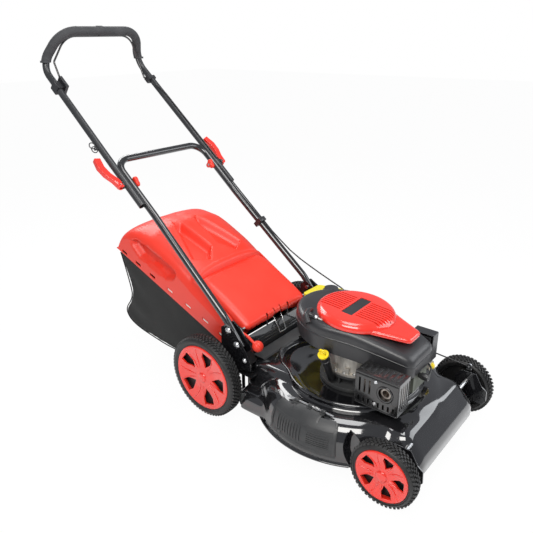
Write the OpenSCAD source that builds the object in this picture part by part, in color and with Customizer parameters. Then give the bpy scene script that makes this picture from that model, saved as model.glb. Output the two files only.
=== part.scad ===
// Walk-behind petrol lawn mower with a folding handle and a rear bag.
// Millimetres. +X is the way it is pushed, +Y is its left side, +Z is up, the ground is z = 0.
// Inside from_axle() every x is measured forward from the rear wheel's axis.

/* [Overall] */
// Distance between the front and rear wheel axes
wheelbase = 670; // [660:2:680]
// How far the handle reaches behind the rear wheel axis
handle_reach = 842; // [838:2:846]
// Height of the centre of the handle's top bar
handle_top = 1222; // [1216:2:1230]

/* [Wheels] */
// Radius of the front tyres
front_tyre_r = 100; // [98:1:102]
// Radius of the rear tyres
rear_tyre_r = 144; // [142:1:146]
// Width of the front tyres
front_tyre_w = 42; // [40:1:44]
// Width of the rear tyres
rear_tyre_w = 50; // [48:1:52]
// Centre plane to the outer face of a front wheel
front_face = 297; // [296:1:300]
// Centre plane to the outer face of a rear wheel
rear_face = 304; // [303:1:306]
// Radius of the front rims
front_rim_r = 79; // [76:1:80]
// Radius of the rear rims
rear_rim_r = 115; // [112:1:117]
// Radius of the axles
axle_r = 6; // [5:0.5:7]

/* [Deck] */
// Distance from the rear wheel axis forward to the crankshaft
crank_x = 405; // [400:1:410]
// Height of the skirt's lower edge above the ground
skirt_z = 60; // [55:1:65]
// Height of the deck's top
deck_top = 180; // [176:1:184]
// Outer radius of the rolled flange under the skirt
flange_r = 322; // [320:1:326]
// Radius of the round well that the engine stands in
well_r = 208; // [205:1:210]
// Thickness of the pressed steel
sheet = 3; // [2:0.5:3]
// Length of the blade
blade_len = 510; // [480:5:520]

/* [Handle] */
// Outer radius of the handle tubes
tube_r = 12.5; // [12:0.5:13]
// Slope of the handle's legs above the horizontal
leg_angle = 40.6; // [40.2:0.2:41]
// Centre plane to the feet of the lower handle's tubes
low_y = 220; // [219:1:222]
// Radius of the soft grip
grip_r = 17; // [16:0.5:18]

/* [Bag] */
// Half the width of the bag
bag_half = 196; // [190:1:198]
// Thickness of the lid's moulding and of the bag's cloth
bag_wall = 4; // [3:0.5:5]

/* [Hidden] */
$fn = 48;
run = 0.05;                                    // radial clearance of a running fit
axle_x = (handle_reach - wheelbase - front_tyre_r) / 2;

red = "#e8432e";
gloss = "#141416";
satin = "#2c2d30";
zinc = "#b9bbbf";
alu = "#a9a49c";
yellow = "#e8d21a";

// height adjuster: each wheel axis hangs below and behind its crank's pivot
crank_off = [24, 43];
rear_pivot = [crank_off[0], rear_tyre_r + crank_off[1]];
front_pivot = [wheelbase + crank_off[0], front_tyre_r + crank_off[1]];
link_arm = 50;
arm_y = 243;                                   // inner face of the crank plates
arm_t = 5;
lever_pivot = [40, 225];
lever_y = 193;

// handle: the fold bolt's place and the kink where the legs meet the grip hoop.
// Both tubes are pressed flat where they lie against each other.
fold = [-402, 728];
fold_y = low_y - 13.5;
press = 9.6;
up_y = fold_y + 2 * press + 0.3;
kink_y = 220;
kink_bend = 62;
collar_r = grip_r + 1.7;
kink_x = -handle_reach - 1.5;
kink_z = fold[1] + (fold[0] - kink_x) * tan(leg_angle);
top_x = kink_x + 75;
top_y = 170;
hoop_bend = 88;
leg_u = [-cos(leg_angle), 0, sin(leg_angle)];
function leg(s, y) = [fold[0], y, fold[1]] + s * leg_u;

// flap hinge and the slope of the closed flap
flap_hinge = [72, 298];
flap_slope = 28.6;
tunnel_x = 90;                                 // rear wall of the deck

// discharge cover's rod, along X
side_rod = [-250, 186];
side_x = [330, 480];

// crankshaft, engine and starter
sump_z = 170;
rope_from = [322, -118, 402];
rope_dir = [200, 62, -66];
dip_base = [385, -105, 200];
dip_top = [384, -155, 305];
cap_at = [232, 114];
shroud_c = [345, 0];
shroud_r = 143;
tail_well = [278, 140];                        // rear lobe of the well: its centre's x and its radius

// ---- general shapes ----

module from_axle() { translate([axle_x, 0, 0]) children(); }

module both_sides() {
  children();
  mirror([0, 1, 0]) children();
}

function unit(v) = v / norm(v);
function arc(c, r, a0, a1, n) = [
  for (i = [0:n]) c + r * [cos(a0 + (a1 - a0) * i / n), sin(a0 + (a1 - a0) * i / n)]];

module rod(a, b, r) {
  d = b - a;
  translate(a) rotate([0, acos(d[2] / norm(d)), atan2(d[1], d[0])]) cylinder(r = r, h = norm(d));
}

// cylinder along Y at x, z between y0 and y1
module rod_y(p, y0, y1, r) {
  translate([p[0], y0, p[1]]) rotate([-90, 0, 0]) cylinder(r = r, h = y1 - y0);
}

// plate in the x-z plane between y0 and y1
module plate(pts, y0, y1) {
  translate([0, y1, 0]) rotate([90, 0, 0]) linear_extrude(y1 - y0) polygon(pts);
}

// tube bent along a run of straight stretches
function turn_at(p, i) = acos(unit(p[i] - p[i - 1]) * unit(p[i + 1] - p[i]));
function trim_at(p, b, i) = (i == 0 || i == len(p) - 1) ? 0 : b[i] * tan(turn_at(p, i) / 2);

module pipe(p, b, r, extra = 0) {
  last = len(p) - 2;
  for (i = [0:last]) {
    u = unit(p[i + 1] - p[i]);
    start = p[i] + u * (trim_at(p, b, i) - (i == 0 ? extra : 0));
    stop = p[i + 1] - u * (trim_at(p, b, i + 1) - (i == last ? extra : 0));
    rod(start, stop, r);
    // a low bead where a straight stretch meets a bend
    if (i > 0) rod(start - u, start + u, r + 0.2);
    if (i < last) rod(stop - u, stop + u, r + 0.2);
  }
  for (i = [1:1:last]) {
    u = unit(p[i] - p[i - 1]);
    n = unit(cross(u, unit(p[i + 1] - p[i])));
    m = cross(n, u);
    c = p[i] - u * trim_at(p, b, i) + b[i] * m;
    multmatrix([[-m[0], u[0], n[0], c[0]], [-m[1], u[1], n[1], c[1]], [-m[2], u[2], n[2], c[2]]])
      rotate_extrude(angle = turn_at(p, i)) translate([b[i], 0]) circle(r = r);
  }
}

// thin cable swept along its points
module cable(p, r) {
  n = 8;
  last = len(p) - 1;
  ways = [for (i = [0:last]) unit(p[min(i + 1, last)] - p[max(i - 1, 0)])];
  sides = [for (w = ways) unit(cross(w, [0, 1, 0]))];
  pts = [for (i = [0:last], k = [0:n - 1])
    p[i] + r * (cos(360 * k / n) * sides[i] + sin(360 * k / n) * cross(ways[i], sides[i]))];
  walls = [for (i = [0:last - 1], k = [0:n - 1])
    [i * n + k, i * n + (k + 1) % n, (i + 1) * n + (k + 1) % n, (i + 1) * n + k]];
  first_cap = [[for (k = [n - 1:-1:0]) k]];
  last_cap = [[for (k = [0:n - 1]) last * n + k]];
  polyhedron(points = pts, faces = concat(first_cap, walls, last_cap));
}

// ---- deck ----

// half section of the blade chamber, t inside its outer face
function dome_section(t, low) = concat(
  [[0, low], [312 - t, low]],
  arc([240, deck_top - 65], 65 - t, 0, 90, 8),
  [[0, deck_top - t]]);

module tunnel(t, low, half, top, r, x0, x1) {
  translate([x0, -half + r, low]) cube([x1 - x0, 2 * (half - r), top - t - low]);
  translate([x0, -half + t, low]) cube([x1 - x0, 2 * (half - t), top - r - low]);
  for (s = [-1, 1]) translate([x0, s * (half - r), top - r]) rotate([0, 90, 0])
    cylinder(r = r - t, h = x1 - x0);
}

module nose(t, low) {
  hull() {
    for (s = [-1, 1]) {
      translate([675, s * 172, low]) cylinder(r = 60 - t, h = 118 - low);
      translate([668, s * 168, 135]) sphere(r = 35 - t, $fn = 32);
      translate([540, s * 172, low]) cylinder(r = 60 - t, h = 60);
      translate([560, s * 168, 135]) sphere(r = 35 - t, $fn = 32);
    }
  }
}

module deck_form(t, low) {
  translate([crank_x, 0, 0]) rotate_extrude($fn = 96) polygon(dome_section(t, low));
  tunnel(t, low, 200, 195, 45, tunnel_x + t, 300);
  tunnel(t, low, 262, 125, 30, 170 + t, 300);
  nose(t, low);
}

// room for the wheels at every height setting, with g more all round
module wheel_arches(g) {
  both_sides() {
    rod_y([wheelbase, front_tyre_r], 248 - g, 340, front_tyre_r + 10 + g);
    rod_y([wheelbase - 24, front_tyre_r + 30], 248 - g, 340, front_tyre_r + 8 + g);
    rod_y([0, rear_tyre_r], 246 - g, 340, rear_tyre_r + 10 + g);
  }
}

// raised rim around the well, and its rear lobe
module well_rim(r) {
  rotate_extrude($fn = 96) polygon([[r - 3, sump_z - 3], [r + 4, sump_z - 3], [r + 4, 190], [r + 9, 194],
    [r + 7, 199], [r + 2, 199], [r - 3, 190]]);
}

module well_hole(r, z0, z1) {
  translate([crank_x, 0, z0]) cylinder(r = well_r + r, h = z1 - z0, $fn = 96);
  translate([tail_well[0], 0, z0]) cylinder(r = tail_well[1] + r, h = z1 - z0, $fn = 96);
}

module deck_shell() {
  from_axle() color(gloss) difference() {
    union() {
      difference() {
        union() {
          deck_form(0, skirt_z);
          translate([crank_x, 0, skirt_z]) cylinder(r = flange_r, h = 4, $fn = 96);
        }
        difference() {
          deck_form(sheet, skirt_z - 20);
          wheel_arches(sheet);
        }
        well_hole(0, sump_z - 20, 260);
      }
      difference() {
        union() {
          translate([crank_x, 0, 0]) well_rim(well_r);
          translate([tail_well[0], 0, 0]) well_rim(tail_well[1]);
        }
        well_hole(0, sump_z, 260);
      }
      well_hole(2, sump_z - 2.5, sump_z);
      for (x = side_x) translate([x - 3, side_rod[0] - 7, 170]) cube([6, 14, 23]);
    }
    wheel_arches(0);
    translate([tunnel_x - 1, -182, 128]) cube([10, 364, 62]);
    translate([crank_x, 0, 100]) cylinder(r = 30, h = 100);
    translate([300, -340, 78]) cube([205, 90, 74]);
    rod_y(front_pivot, -300, 300, 9);
    translate([side_x[0] - 10, side_rod[0], side_rod[1]]) rotate([0, 90, 0]) cylinder(r = 3 + run, h = 180);
  }
}

// box behind the tunnel that leads the clippings up into the bag's mouth
module rear_housing() {
  from_axle() color(gloss) {
    both_sides() difference() {
      plate([[15, 205], [tunnel_x, 146], [tunnel_x, 272], [84, 304], [60, 306], [43, 286], [15, 286]],
        182, 185);
      rod_y(flap_hinge, 150, 200, 4);
    }
    translate([tunnel_x - 3, -182, 190]) cube([3, 364, 82]);
    plate([[15, 205], [tunnel_x, 146], [tunnel_x, 150], [15, 209]], -182, 182);
    both_sides() translate([tunnel_x - 3, 185, 66]) cube([3, 14, 125]);
    for (y = [-181, -60, 56, 177]) difference() {
      plate([[tunnel_x - 3, 268], [tunnel_x, 268], [82, 292], [80, 304], [66, 306], [62, 288], [80, 272]],
        y, y + 4);
      rod_y(flap_hinge, -200, 200, 4);
    }
  }
}

// pressed bracket that holds the handle's foot and the rear crank's pivot
module handle_bracket() {
  outline = [[36, 322], [62, 340], [94, 322], [142, 262], [160, 225], [160, 200], [60, 172], [10, 172],
    [10, 205], [34, 262]];
  color(gloss) difference() {
    union() {
      plate(outline, low_y + tube_r + 0.3, low_y + tube_r + 3.5);
      plate(outline, low_y - tube_r - 3.5, low_y - tube_r - 0.3);
      translate([62, low_y - tube_r - 2, 172]) cube([98, 2 * tube_r + 4, 3]);
      plate([[142, 262], [160, 225], [157, 224], [139, 261]], low_y - tube_r - 2, low_y + tube_r + 2);
    }
    rod_y(rear_pivot, 150, 300, axle_r + run);
    for (p = foot_bolts) rod_y(p, 150, 300, 4.1);
    rod_y(lever_pivot, 150, 300, 4.1);
  }
}

foot_bolts = [[102, 276], [67, 317]];

module handle_bracket_right() { from_axle() mirror([0, 1, 0]) handle_bracket(); }
module handle_bracket_left() { from_axle() handle_bracket(); }

// ears that carry the front crank, one each side of the nose
module front_brackets() {
  from_axle() color(gloss) both_sides() difference() {
    plate([[655, 78], [752, 74], [764, 90], [762, 126], [745, 138], [722, 176], [672, 176], [655, 150]],
      233, 236.8);
    rod_y(front_pivot, 150, 300, axle_r + run);
  }
}

module bolt(x, z, y0, y1) {
  rod_y([x, z], y0, y1, 4);
  rod_y([x, z], y1, y1 + 5, 7);
  rod_y([x, z], y0 - 4, y0, 7);
}

module deck_bolts() {
  from_axle() color(zinc) {
    both_sides() {
      for (p = foot_bolts) bolt(p[0], p[1], low_y - tube_r - 3.6, low_y + tube_r + 3.6);
      rod_y([135, 230], low_y + tube_r + 3.5, low_y + tube_r + 4.4, 4);
    }
    rod_y(lever_pivot, -low_y + tube_r + 0.3, -lever_y + 7.7, 4);
    for (a = [45:90:315]) translate([crank_x + 95 * cos(a), 95 * sin(a), sump_z + 12]) cylinder(r = 6, h = 5);
  }
}

// ribbed cover over the side discharge hole, bent to the chamber's side
function cover_section(a, b) = concat([[a - 65 + 312, 82]], arc([240, deck_top - 65], a, 0, 82, 8),
  arc([240, deck_top - 65], b, 82, 0, 8), [[b - 65 + 312, 82]]);

module discharge_cover() {
  from_axle() color(satin) {
    difference() {
      translate([crank_x, 0, 0]) rotate([0, 0, 248]) rotate_extrude(angle = 44, $fn = 96)
        polygon(cover_section(66.5, 70.5));
      for (x = side_x) translate([x - 3.6, side_rod[0] - 20, 150]) cube([7.2, 42, 50]);
      translate([side_x[0] - 20, side_rod[0], side_rod[1]]) rotate([0, 90, 0]) cylinder(r = 3.6, h = 190);
      translate([413.5, side_rod[0], side_rod[1]]) rotate([0, 90, 0]) cylinder(r = 6.4, h = 27.5);
      for (x = [280, 454]) translate([x, -300, 166]) cube([76, 100, 40]);
    }
    for (x = [350, 400, 446]) difference() {
      union() {
        translate([x, side_rod[0], side_rod[1]]) rotate([0, 90, 0]) cylinder(r = 6.5, h = 14);
        translate([x, side_rod[0] - 12, side_rod[1] - 6.5]) cube([14, 12, 5]);
      }
      translate([x - 1, side_rod[0], side_rod[1]]) rotate([0, 90, 0]) cylinder(r = 3 + run, h = 20);
    }
  }
}

// rods that the flap and the discharge cover turn on
module hinge_rods() {
  from_axle() color(zinc) {
    rod_y(flap_hinge, -186, 186, 4);
    translate([side_x[0] - 8, side_rod[0], side_rod[1]]) rotate([0, 90, 0])
      cylinder(r = 3, h = side_x[1] - side_x[0] + 16);
  }
}

// coil of a torsion spring around a rod along Y, with a leg forward and down
module coil_y(p, y0, y1, r) {
  difference() {
    rod_y(p, y0, y1, r + 2.5);
    rod_y(p, y0 - 1, y1 + 1, r);
  }
}

module hinge_springs() {
  from_axle() color(zinc) {
    coil_y(flap_hinge, -22, -4, 4.4);
    coil_y(flap_hinge, 4, 22, 4.4);
    for (y = [-18, 16]) rod([flap_hinge[0] + 6, y, flap_hinge[1]], [105, y, 252], 1.5);
    rod([105, -20.5, 252], [105, 18.5, 252], 1.9);
    translate([414.4, side_rod[0], side_rod[1]]) rotate([0, 90, 0]) difference() {
      cylinder(r = 5.8, h = 26);
      translate([0, 0, -1]) cylinder(r = 3.4, h = 28);
    }
  }
}

// ---- rear flap ----

module flap_form(t) {
  hull() {
    for (s = [-1, 1]) {
      translate([-226, s * 150, -2]) sphere(r = 16 - t, $fn = 24);
      translate([-120, s * 146, 4]) sphere(r = 18 - t, $fn = 24);
      translate([-120, s * 60, 10]) sphere(r = 16 - t, $fn = 24);
    }
    rod_y([0, 0], -166 + t, 166 - t, 16 - t, $fn = 32);
  }
}

module rear_flap() {
  from_axle() color(red) translate([flap_hinge[0], 0, flap_hinge[1]]) rotate([0, flap_slope, 0])
    difference() {
      union() {
        difference() {
          flap_form(0);
          flap_form(3.5);
          translate([-260, -200, -40]) cube([300, 400, 34]);
          translate([-2, -200, -40]) cube([40, 400, 38]);
        }
        for (y = [-150, -90, 80, 140]) rod_y([0, 0], y, y + 10, 13.5);
      }
      rod_y([0, 0], -200, 200, 4 + run);
      translate([-22, -26, -17]) cube([60, 52, 29]);
      for (y = [-20.4, 13.6]) translate([-4, y, -22]) cube([44, 4.8, 42]);
      for (y = [-61.5, 54.5]) translate([1, y, -22]) cube([34, 7, 42]);
    }
}

// ---- height adjuster ----

module strap(a, b, y0, y1, r) {
  rod_y(a, y0, y1, r);
  rod_y(b, y0, y1, r);
  d = b - a;
  s = [-d[1], d[0]] / norm(d) * r;
  plate([a + s, b + s, b - s, a - s], y0, y1);
}

// crank across the deck with a stub axle for each wheel
module crank(pivot, wheel, face) {
  rod_y(pivot, -arm_y, arm_y, axle_r);
  both_sides() {
    strap(pivot, wheel, arm_y, arm_y + arm_t, 11);
    rod_y(wheel, arm_y + arm_t, face - 24, axle_r);
  }
  strap(pivot, pivot + [0, link_arm], arm_y, arm_y + arm_t, 8);
  rod_y(pivot + [0, link_arm], arm_y - 6.5, arm_y, 4);
}

module rear_axle() { from_axle() color(zinc) crank(rear_pivot, [0, rear_tyre_r], rear_face); }
module front_axle() { from_axle() color(zinc) crank(front_pivot, [wheelbase, front_tyre_r], front_face); }

module height_link() {
  a = rear_pivot + [0, link_arm];
  b = front_pivot + [0, link_arm];
  from_axle() color(gloss) difference() {
    union() {
      rod([a[0], 239.8, a[1]], [b[0], 239.8, b[1]], 2.3);
      for (p = [a, b]) rod_y(p, 237.6, 242, 8.5);
    }
    rod_y(a, 200, 300, 4 + run);
    rod_y(b, 200, 300, 4.6);
  }
}

module height_lever() {
  arm = [[34, 228], [46, 222], [56, 270], [70, 290], [92, 292], [134, 262], [144, 274], [98, 306],
    [66, 304], [44, 280]];
  from_axle() color(red) {
    difference() {
      union() {
        rod_y(lever_pivot, -lever_y - 7, -lever_y + 7, 12);
        plate(arm, -lever_y - 5, -lever_y + 5);
      }
      rod_y(lever_pivot, -230, -150, 4 + run);
    }
    translate([148, -lever_y + 9, 264]) sphere(r = 19);
  }
}

// ---- wheels ----

// tyre on a black wheel with a closed web and a bored hub
module tyre(r, rim, w) {
  h = w / 2;
  difference() {
    rotate_extrude($fn = 96) polygon([[0, -h], [19, -h], [19, h - 26], [rim - 8, h - 26], [rim - 5, -h + 3],
      [rim + 5, -h + 1], [r - 14, -h], [r - 5, -h + 4], [r - 1, -h + 10], [r, -h + 16], [r, h - 16],
      [r - 1, h - 10], [r - 5, h - 4], [r - 14, h], [rim + 5, h - 1], [rim, h - 4], [rim, h - 20],
      [rim - 8, h - 22], [19, h - 22], [19, h - 19], [0, h - 19]]);
    translate([0, 0, -h - 1]) cylinder(r = axle_r + run, h = w - 22);
  }
}

// dished cap with five kite-shaped windows
module rim(r, w) {
  h = w / 2;
  difference() {
    rotate_extrude($fn = 96) polygon([[r - 8, h - 19], [r - 0.1, h - 19], [r - 0.1, h - 2], [r - 4, h],
      [r - 9, h - 1], [r * 0.5, h - 8], [18, h - 6], [14, h - 2], [0, h - 1], [0, h - 18], [16, h - 18],
      [16, h - 12], [r * 0.5, h - 14], [r - 8, h - 7]]);
    for (k = [0:4]) rotate([0, 0, 72 * k]) translate([0, 0, -h]) linear_extrude(w + 2)
      polygon([[r * 0.36, 0], [r * 0.66, -r * 0.2], [r * 0.85, -r * 0.19], [r * 0.85, r * 0.19],
        [r * 0.66, r * 0.2]]);
  }
}

module on_hub(x, r, face, w, side) {
  from_axle() translate([x, side * (face - w / 2), r]) rotate([-90 * side, 0, 0]) children();
}

module at_rear(side) {
  on_hub(0, rear_tyre_r, rear_face, rear_tyre_w, side) children();
}

module at_front(side) {
  on_hub(wheelbase, front_tyre_r, front_face, front_tyre_w, side) children();
}

module rear_tyre(side) { color(satin) at_rear(side) tyre(rear_tyre_r, rear_rim_r, rear_tyre_w); }
module front_tyre(side) { color(satin) at_front(side) tyre(front_tyre_r, front_rim_r, front_tyre_w); }
module rear_rim(side) { color(red) at_rear(side) rim(rear_rim_r, rear_tyre_w); }
module front_rim(side) { color(red) at_front(side) rim(front_rim_r, front_tyre_w); }

// ---- engine ----

module at_crank() { from_axle() translate([crank_x, 0, 0]) children(); }

module sump() {
  at_crank() color(alu) difference() {
    union() {
      translate([0, 0, sump_z]) cylinder(r = 112, h = 12, $fn = 96);
      translate([0, 0, sump_z + 12]) cylinder(r = 78, h = 24);
      translate([0, 0, sump_z + 36]) cylinder(r = 98, h = 10, $fn = 96);
      for (a = [0:30:330]) rotate([0, 0, a]) translate([70, -3, sump_z + 12]) cube([26, 6, 25]);
    }
    translate([0, 0, sump_z - 1]) cylinder(r = 12.5 + run, h = 20);
    translate([0, 0, sump_z + 15]) cylinder(r = 66, h = 40);
    translate([-crank_x, 0, 0]) rod(dip_base * 1.5 - dip_top * 0.5, dip_top, 13.2);
  }
}

// crankcase with the cylinder block reaching forward from it
module crankcase() {
  top = 298;
  floor_z = sump_z + 46;
  at_crank() color(alu) difference() {
    union() {
      translate([0, 0, floor_z]) cylinder(r = 98, h = 8, $fn = 96);
      translate([0, 0, floor_z + 8]) cylinder(r = 86, h = top - floor_z - 8);
      translate([60, -52, 216]) cube([95, 104, 80]);
      for (a = [195:30:285]) rotate([0, 0, a]) translate([78, -7, floor_z + 8]) cube([18, 14, 20]);
      for (z = [226:14:282]) translate([88, -60, z]) cube([64, 120, 5]);
      translate([-105, 66, 294]) cube([12, 122, 4]);
      translate([-105, 184, 294]) cube([12, 4, 38]);
      translate([-105, 60, 294]) cube([110, 14, 4]);
    }
    translate([0, 0, floor_z - 1]) cylinder(r = 66, h = 70);
    translate([0, 0, floor_z]) cylinder(r = 12.5 + run, h = 120);
    translate([0, 0, 252]) rotate([0, 90, 0]) cylinder(r = 32, h = 160);
  }
}

module cylinder_head() {
  at_crank() color(alu) difference() {
    union() {
      translate([156, -50, 206]) cube([52, 100, 96]);
      for (x = [158:9:206]) translate([x, -58, 200.5]) cube([4, 124, 107.5]);
      translate([208, -44, 214]) cube([16, 88, 80]);
    }
    translate([150, 0, 252]) rotate([0, 90, 0]) cylinder(r = 32, h = 12);
    translate([190, -10, 262]) rotate([0, 90, 0]) cylinder(r = 7, h = 50);
  }
}

module shroud_form(t) {
  hull() {
    translate([345, 0, 300]) cylinder(r = 132 - t, h = 1);
    translate([345, 0, 374]) rotate([0, 4, 0]) cylinder(r = shroud_r - t, h = 12);
    translate([345, 0, 397 - t]) rotate([0, 4, 0]) cylinder(r = 128 - t, h = 1);
    for (s = [-1, 1]) {
      translate([610, s * 54, 262]) cylinder(r = 24 - t, h = 60);
      translate([602, s * 48, 338 - t]) cylinder(r = 20 - t, h = 4);
    }
  }
}

module blower_shroud() {
  from_axle() color(satin) difference() {
    shroud_form(0);
    shroud_form(3);
    translate([100, -300, 336]) rotate([0, 6.5, 0]) translate([-60, 0, -120]) cube([700, 600, 120]);
    translate([cap_at[0], cap_at[1], 200]) cylinder(r = 34, h = 250);
    rod(rope_from - rope_dir * 0.12, rope_from + rope_dir * 0.01, 8.5);
    rod(rope_from, rope_from + rope_dir * 0.4, 5);
    rod(rope_from - unit(rope_dir) * 24 + [-10, 35, 0], rope_from - unit(rope_dir) * 24 + [10, -35, 0], 9.6);
    translate([crank_x, 0, 376]) cylinder(r = 80, h = 34);
    translate([0, 0, -0.5]) cover_form(-1);
  }
}

// vented red cover over the recoil starter, with a tapered nose
module cover_form(t) {
  hull() {
    translate([400, 0, 390]) rotate([0, 5, 0]) cylinder(r = 124 - t, h = 9);
    translate([400, 0, 413 - t]) rotate([0, 4, 0]) cylinder(r = 96 - t, h = 3);
  }
  hull() {
    translate([430, 0, 388]) rotate([0, 7, 0]) cylinder(r = 84 - t, h = 11 - t);
    for (s = [-1, 1]) translate([588, s * 28, 364]) cylinder(r = 16 - t, h = 15 - t);
  }
}

module top_cover() {
  from_axle() color(red) difference() {
    cover_form(0);
    difference() {
      cover_form(3);
      translate([380, -64, 408.5]) cube([40, 128, 8]);
    }
    translate([383, -60, 411.5]) cube([34, 120, 20]);
    for (k = [-3:4], x = [314, 432]) translate([x, 14 * k - 7, 399]) cube([54, 5, 40]);
    rod(rope_from - rope_dir * 0.1, rope_from + rope_dir * 0.5, 5);
  }
}

// pull grip and the rope that runs from it to the reel
module starter_grip() {
  d = unit(rope_dir);
  from_axle() {
    color(gloss) rod(rope_from - d * 22, rope_from, 8);
    color(gloss) rod(rope_from - d * 24 + [-8, 28, 0], rope_from - d * 24 + [8, -28, 0], 9);
    color("white") rod(rope_from - d, rope_from + d * 212, 2.4);
  }
}

module flywheel() {
  at_crank() color(alu) difference() {
    union() {
      translate([0, 0, 316]) cylinder(r = 88, h = 14, $fn = 96);
      for (k = [0:15]) rotate([0, 0, 22.5 * k]) translate([50, -2, 328]) cube([36, 4, 16]);
      translate([0, 0, 308]) cylinder(r = 24, h = 24);
    }
    translate([0, 0, 300]) cylinder(r = 10, h = 50);
  }
}

module crankshaft() {
  at_crank() color(zinc) {
    translate([0, 0, 92]) cylinder(r = 12.5, h = 139);
    for (z = [231, 265]) translate([6, 0, z]) cylinder(r = 36, h = 10);
    translate([20, 0, 241]) cylinder(r = 12, h = 24);
    translate([0, 0, 275]) cylinder(r = 12.5, h = 33);
    translate([0, 0, 308]) cylinder(r = 10, h = 36);
  }
}

module blade_adapter() {
  at_crank() color(zinc) difference() {
    union() {
      translate([0, 0, 79]) cylinder(r = 32, h = 6);
      translate([0, 0, 85]) cylinder(r = 20, h = 34);
    }
    translate([0, 0, 92]) cylinder(r = 12.5, h = 40);
    translate([0, 0, 70]) cylinder(r = 5, h = 30);
  }
}

module blade() {
  half = blade_len / 2;
  at_crank() color(zinc) difference() {
    union() {
      translate([-half, -27, 75]) cube([blade_len, 54, 4]);
      for (s = [0, 180]) rotate([0, 0, s]) translate([half - 89, 24, 76])
        rotate([38, 0, 0]) cube([88, 28, 2.5]);
    }
    translate([0, 0, 70]) cylinder(r = 5, h = 20);
  }
}

module blade_bolt() {
  at_crank() color(zinc) {
    translate([0, 0, 66]) cylinder(r = 10, h = 6, $fn = 6);
    translate([0, 0, 72]) cylinder(r = 22, h = 3);
    translate([0, 0, 75]) cylinder(r = 4.9, h = 17);
  }
}

module fuel_tank() {
  from_axle() color(yellow) difference() {
    union() {
      difference() {
        hull() {
          for (p = [[150, 92], [152, 165], [225, 182], [262, 170]])
            translate([p[0], p[1], 300]) cylinder(r = 14, h = 56, $fn = 24);
        }
        translate([shroud_c[0], 0, 290]) cylinder(r = shroud_r + 3, h = 90, $fn = 96);
      }
      translate([cap_at[0], cap_at[1], 344]) cylinder(r = 30, h = 14);
      translate([cap_at[0], cap_at[1], 358]) cylinder(r = 20, h = 22);
    }
    translate([cap_at[0], cap_at[1], 348]) cylinder(r = 16, h = 40);
  }
}

module fuel_cap() {
  from_axle() translate([cap_at[0], cap_at[1], 0]) color(gloss) difference() {
    union() {
      translate([0, 0, 362]) cylinder(r = 28, h = 22);
      translate([0, 0, 384]) cylinder(r = 24, h = 8);
    }
    translate([0, 0, 361]) cylinder(r = 20 + run, h = 20);
  }
}

module oil_filler() {
  d = unit(dip_top - dip_base);
  from_axle() color(gloss) difference() {
    rod(dip_base, dip_top, 13);
    rod(dip_base + d * 8, dip_top + d, 9);
  }
}

// yellow cap with a ring to pull, and the stick below it
module dipstick() {
  d = unit(dip_top - dip_base);
  from_axle() color(yellow) {
    rod(dip_top + d * 0.3, dip_top + d * 6, 17);
    rod(dip_top - d * 14, dip_top + d * 2, 8.9);
    rod(dip_top - d * 104, dip_top - d * 12, 2.5);
    translate(dip_top + d * 16) rotate([-64.5, 0, 0]) rotate_extrude() translate([10, 0]) circle(r = 2.4);
  }
}

module muffler() {
  from_axle() color(zinc) difference() {
    union() {
      translate([524, -154, 222]) cube([108, 52, 74]);
      rod([604, -154, 268], [604, -168, 268], 16);
      rod([575, -102, 262], [575, -66, 262], 14);
    }
    rod([604, -150, 268], [604, -170, 268], 11);
  }
}

// punched sheet box around the muffler, open towards the engine
module muffler_guard() {
  from_axle() color(satin) difference() {
    translate([508, -174, 208]) cube([138, 67, 105]);
    translate([510, -172, 210]) cube([134, 80, 101]);
    rod([604, -160, 268], [604, -180, 268], 20);
    for (k = [0:7]) translate([518 + 16 * k, -180, 216]) cube([5, 12, 16]);
    for (k = [0:7]) translate([516 + 16 * k, -158, 305]) cube([6, 46, 12]);
    for (k = [0:4]) translate([640, -162 + 12 * k, 222]) cube([10, 5, 76]);
    for (k = [0:2]) translate([520 + 16 * k, -180, 250]) cube([5, 12, 44]);
  }
}

module air_filter() {
  from_axle() translate([0, 12.5, 0]) color(satin) {
    difference() {
      translate([548, 84, 250]) cube([72, 38, 92]);
      translate([551, 80, 253]) cube([66, 39, 86]);
    }
    translate([558, 88, 260]) cube([52, 32, 70]);
    translate([570, 122, 276]) cube([28, 4, 44]);
  }
}

module carburettor() {
  from_axle() color(alu) difference() {
    union() {
      translate([572, 66, 262]) cube([36, 18, 12]);
      translate([580, 80, 264]) cube([20, 16.3, 10]);
      translate([572, 66, 228]) cube([36, 34, 20]);
      translate([582, 70, 248]) cube([16, 12, 14]);
      translate([602, 106, 232]) rotate([0, 90, 0]) cylinder(r = 17, h = 18);
    }
    translate([604, 106, 232]) rotate([0, 90, 0]) cylinder(r = 12 + run, h = 18);
  }
}

module primer_bulb() {
  from_axle() translate([613, 106, 232]) rotate([0, 90, 0]) color(yellow) {
    cylinder(r = 12, h = 5);
    translate([0, 0, 5]) intersection() {
      sphere(r = 12);
      cylinder(r = 12, h = 12);
    }
  }
}

module spark_plug() {
  at_crank() translate([191, -10, 262]) rotate([0, 90, 0]) color("white") {
    cylinder(r = 6.9, h = 34);
    translate([0, 0, 34]) cylinder(r = 9, h = 8, $fn = 6);
    translate([0, 0, 42]) cylinder(r = 11, h = 22);
  }
}

// ---- handle ----

low_slope = (fold[1] - 352) / (38 - fold[0]);
function low_pt(x, y) = [x, y, 352 + (38 - x) * low_slope];
low_path = [[112, low_y, 264], low_pt(38, low_y), low_pt(-290, fold_y), low_pt(-482, fold_y)];
low_bends = [0, 110, 400, 55];

// pressed flats beside the fold bolt, on the side that faces the other tube
module flat_zone(y0, y1) {
  both_sides() translate([fold[0], y0, fold[1]]) rotate([0, leg_angle, 0])
    translate([-78, 0, -60]) cube([186, y1 - y0, 120]);
}

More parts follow.
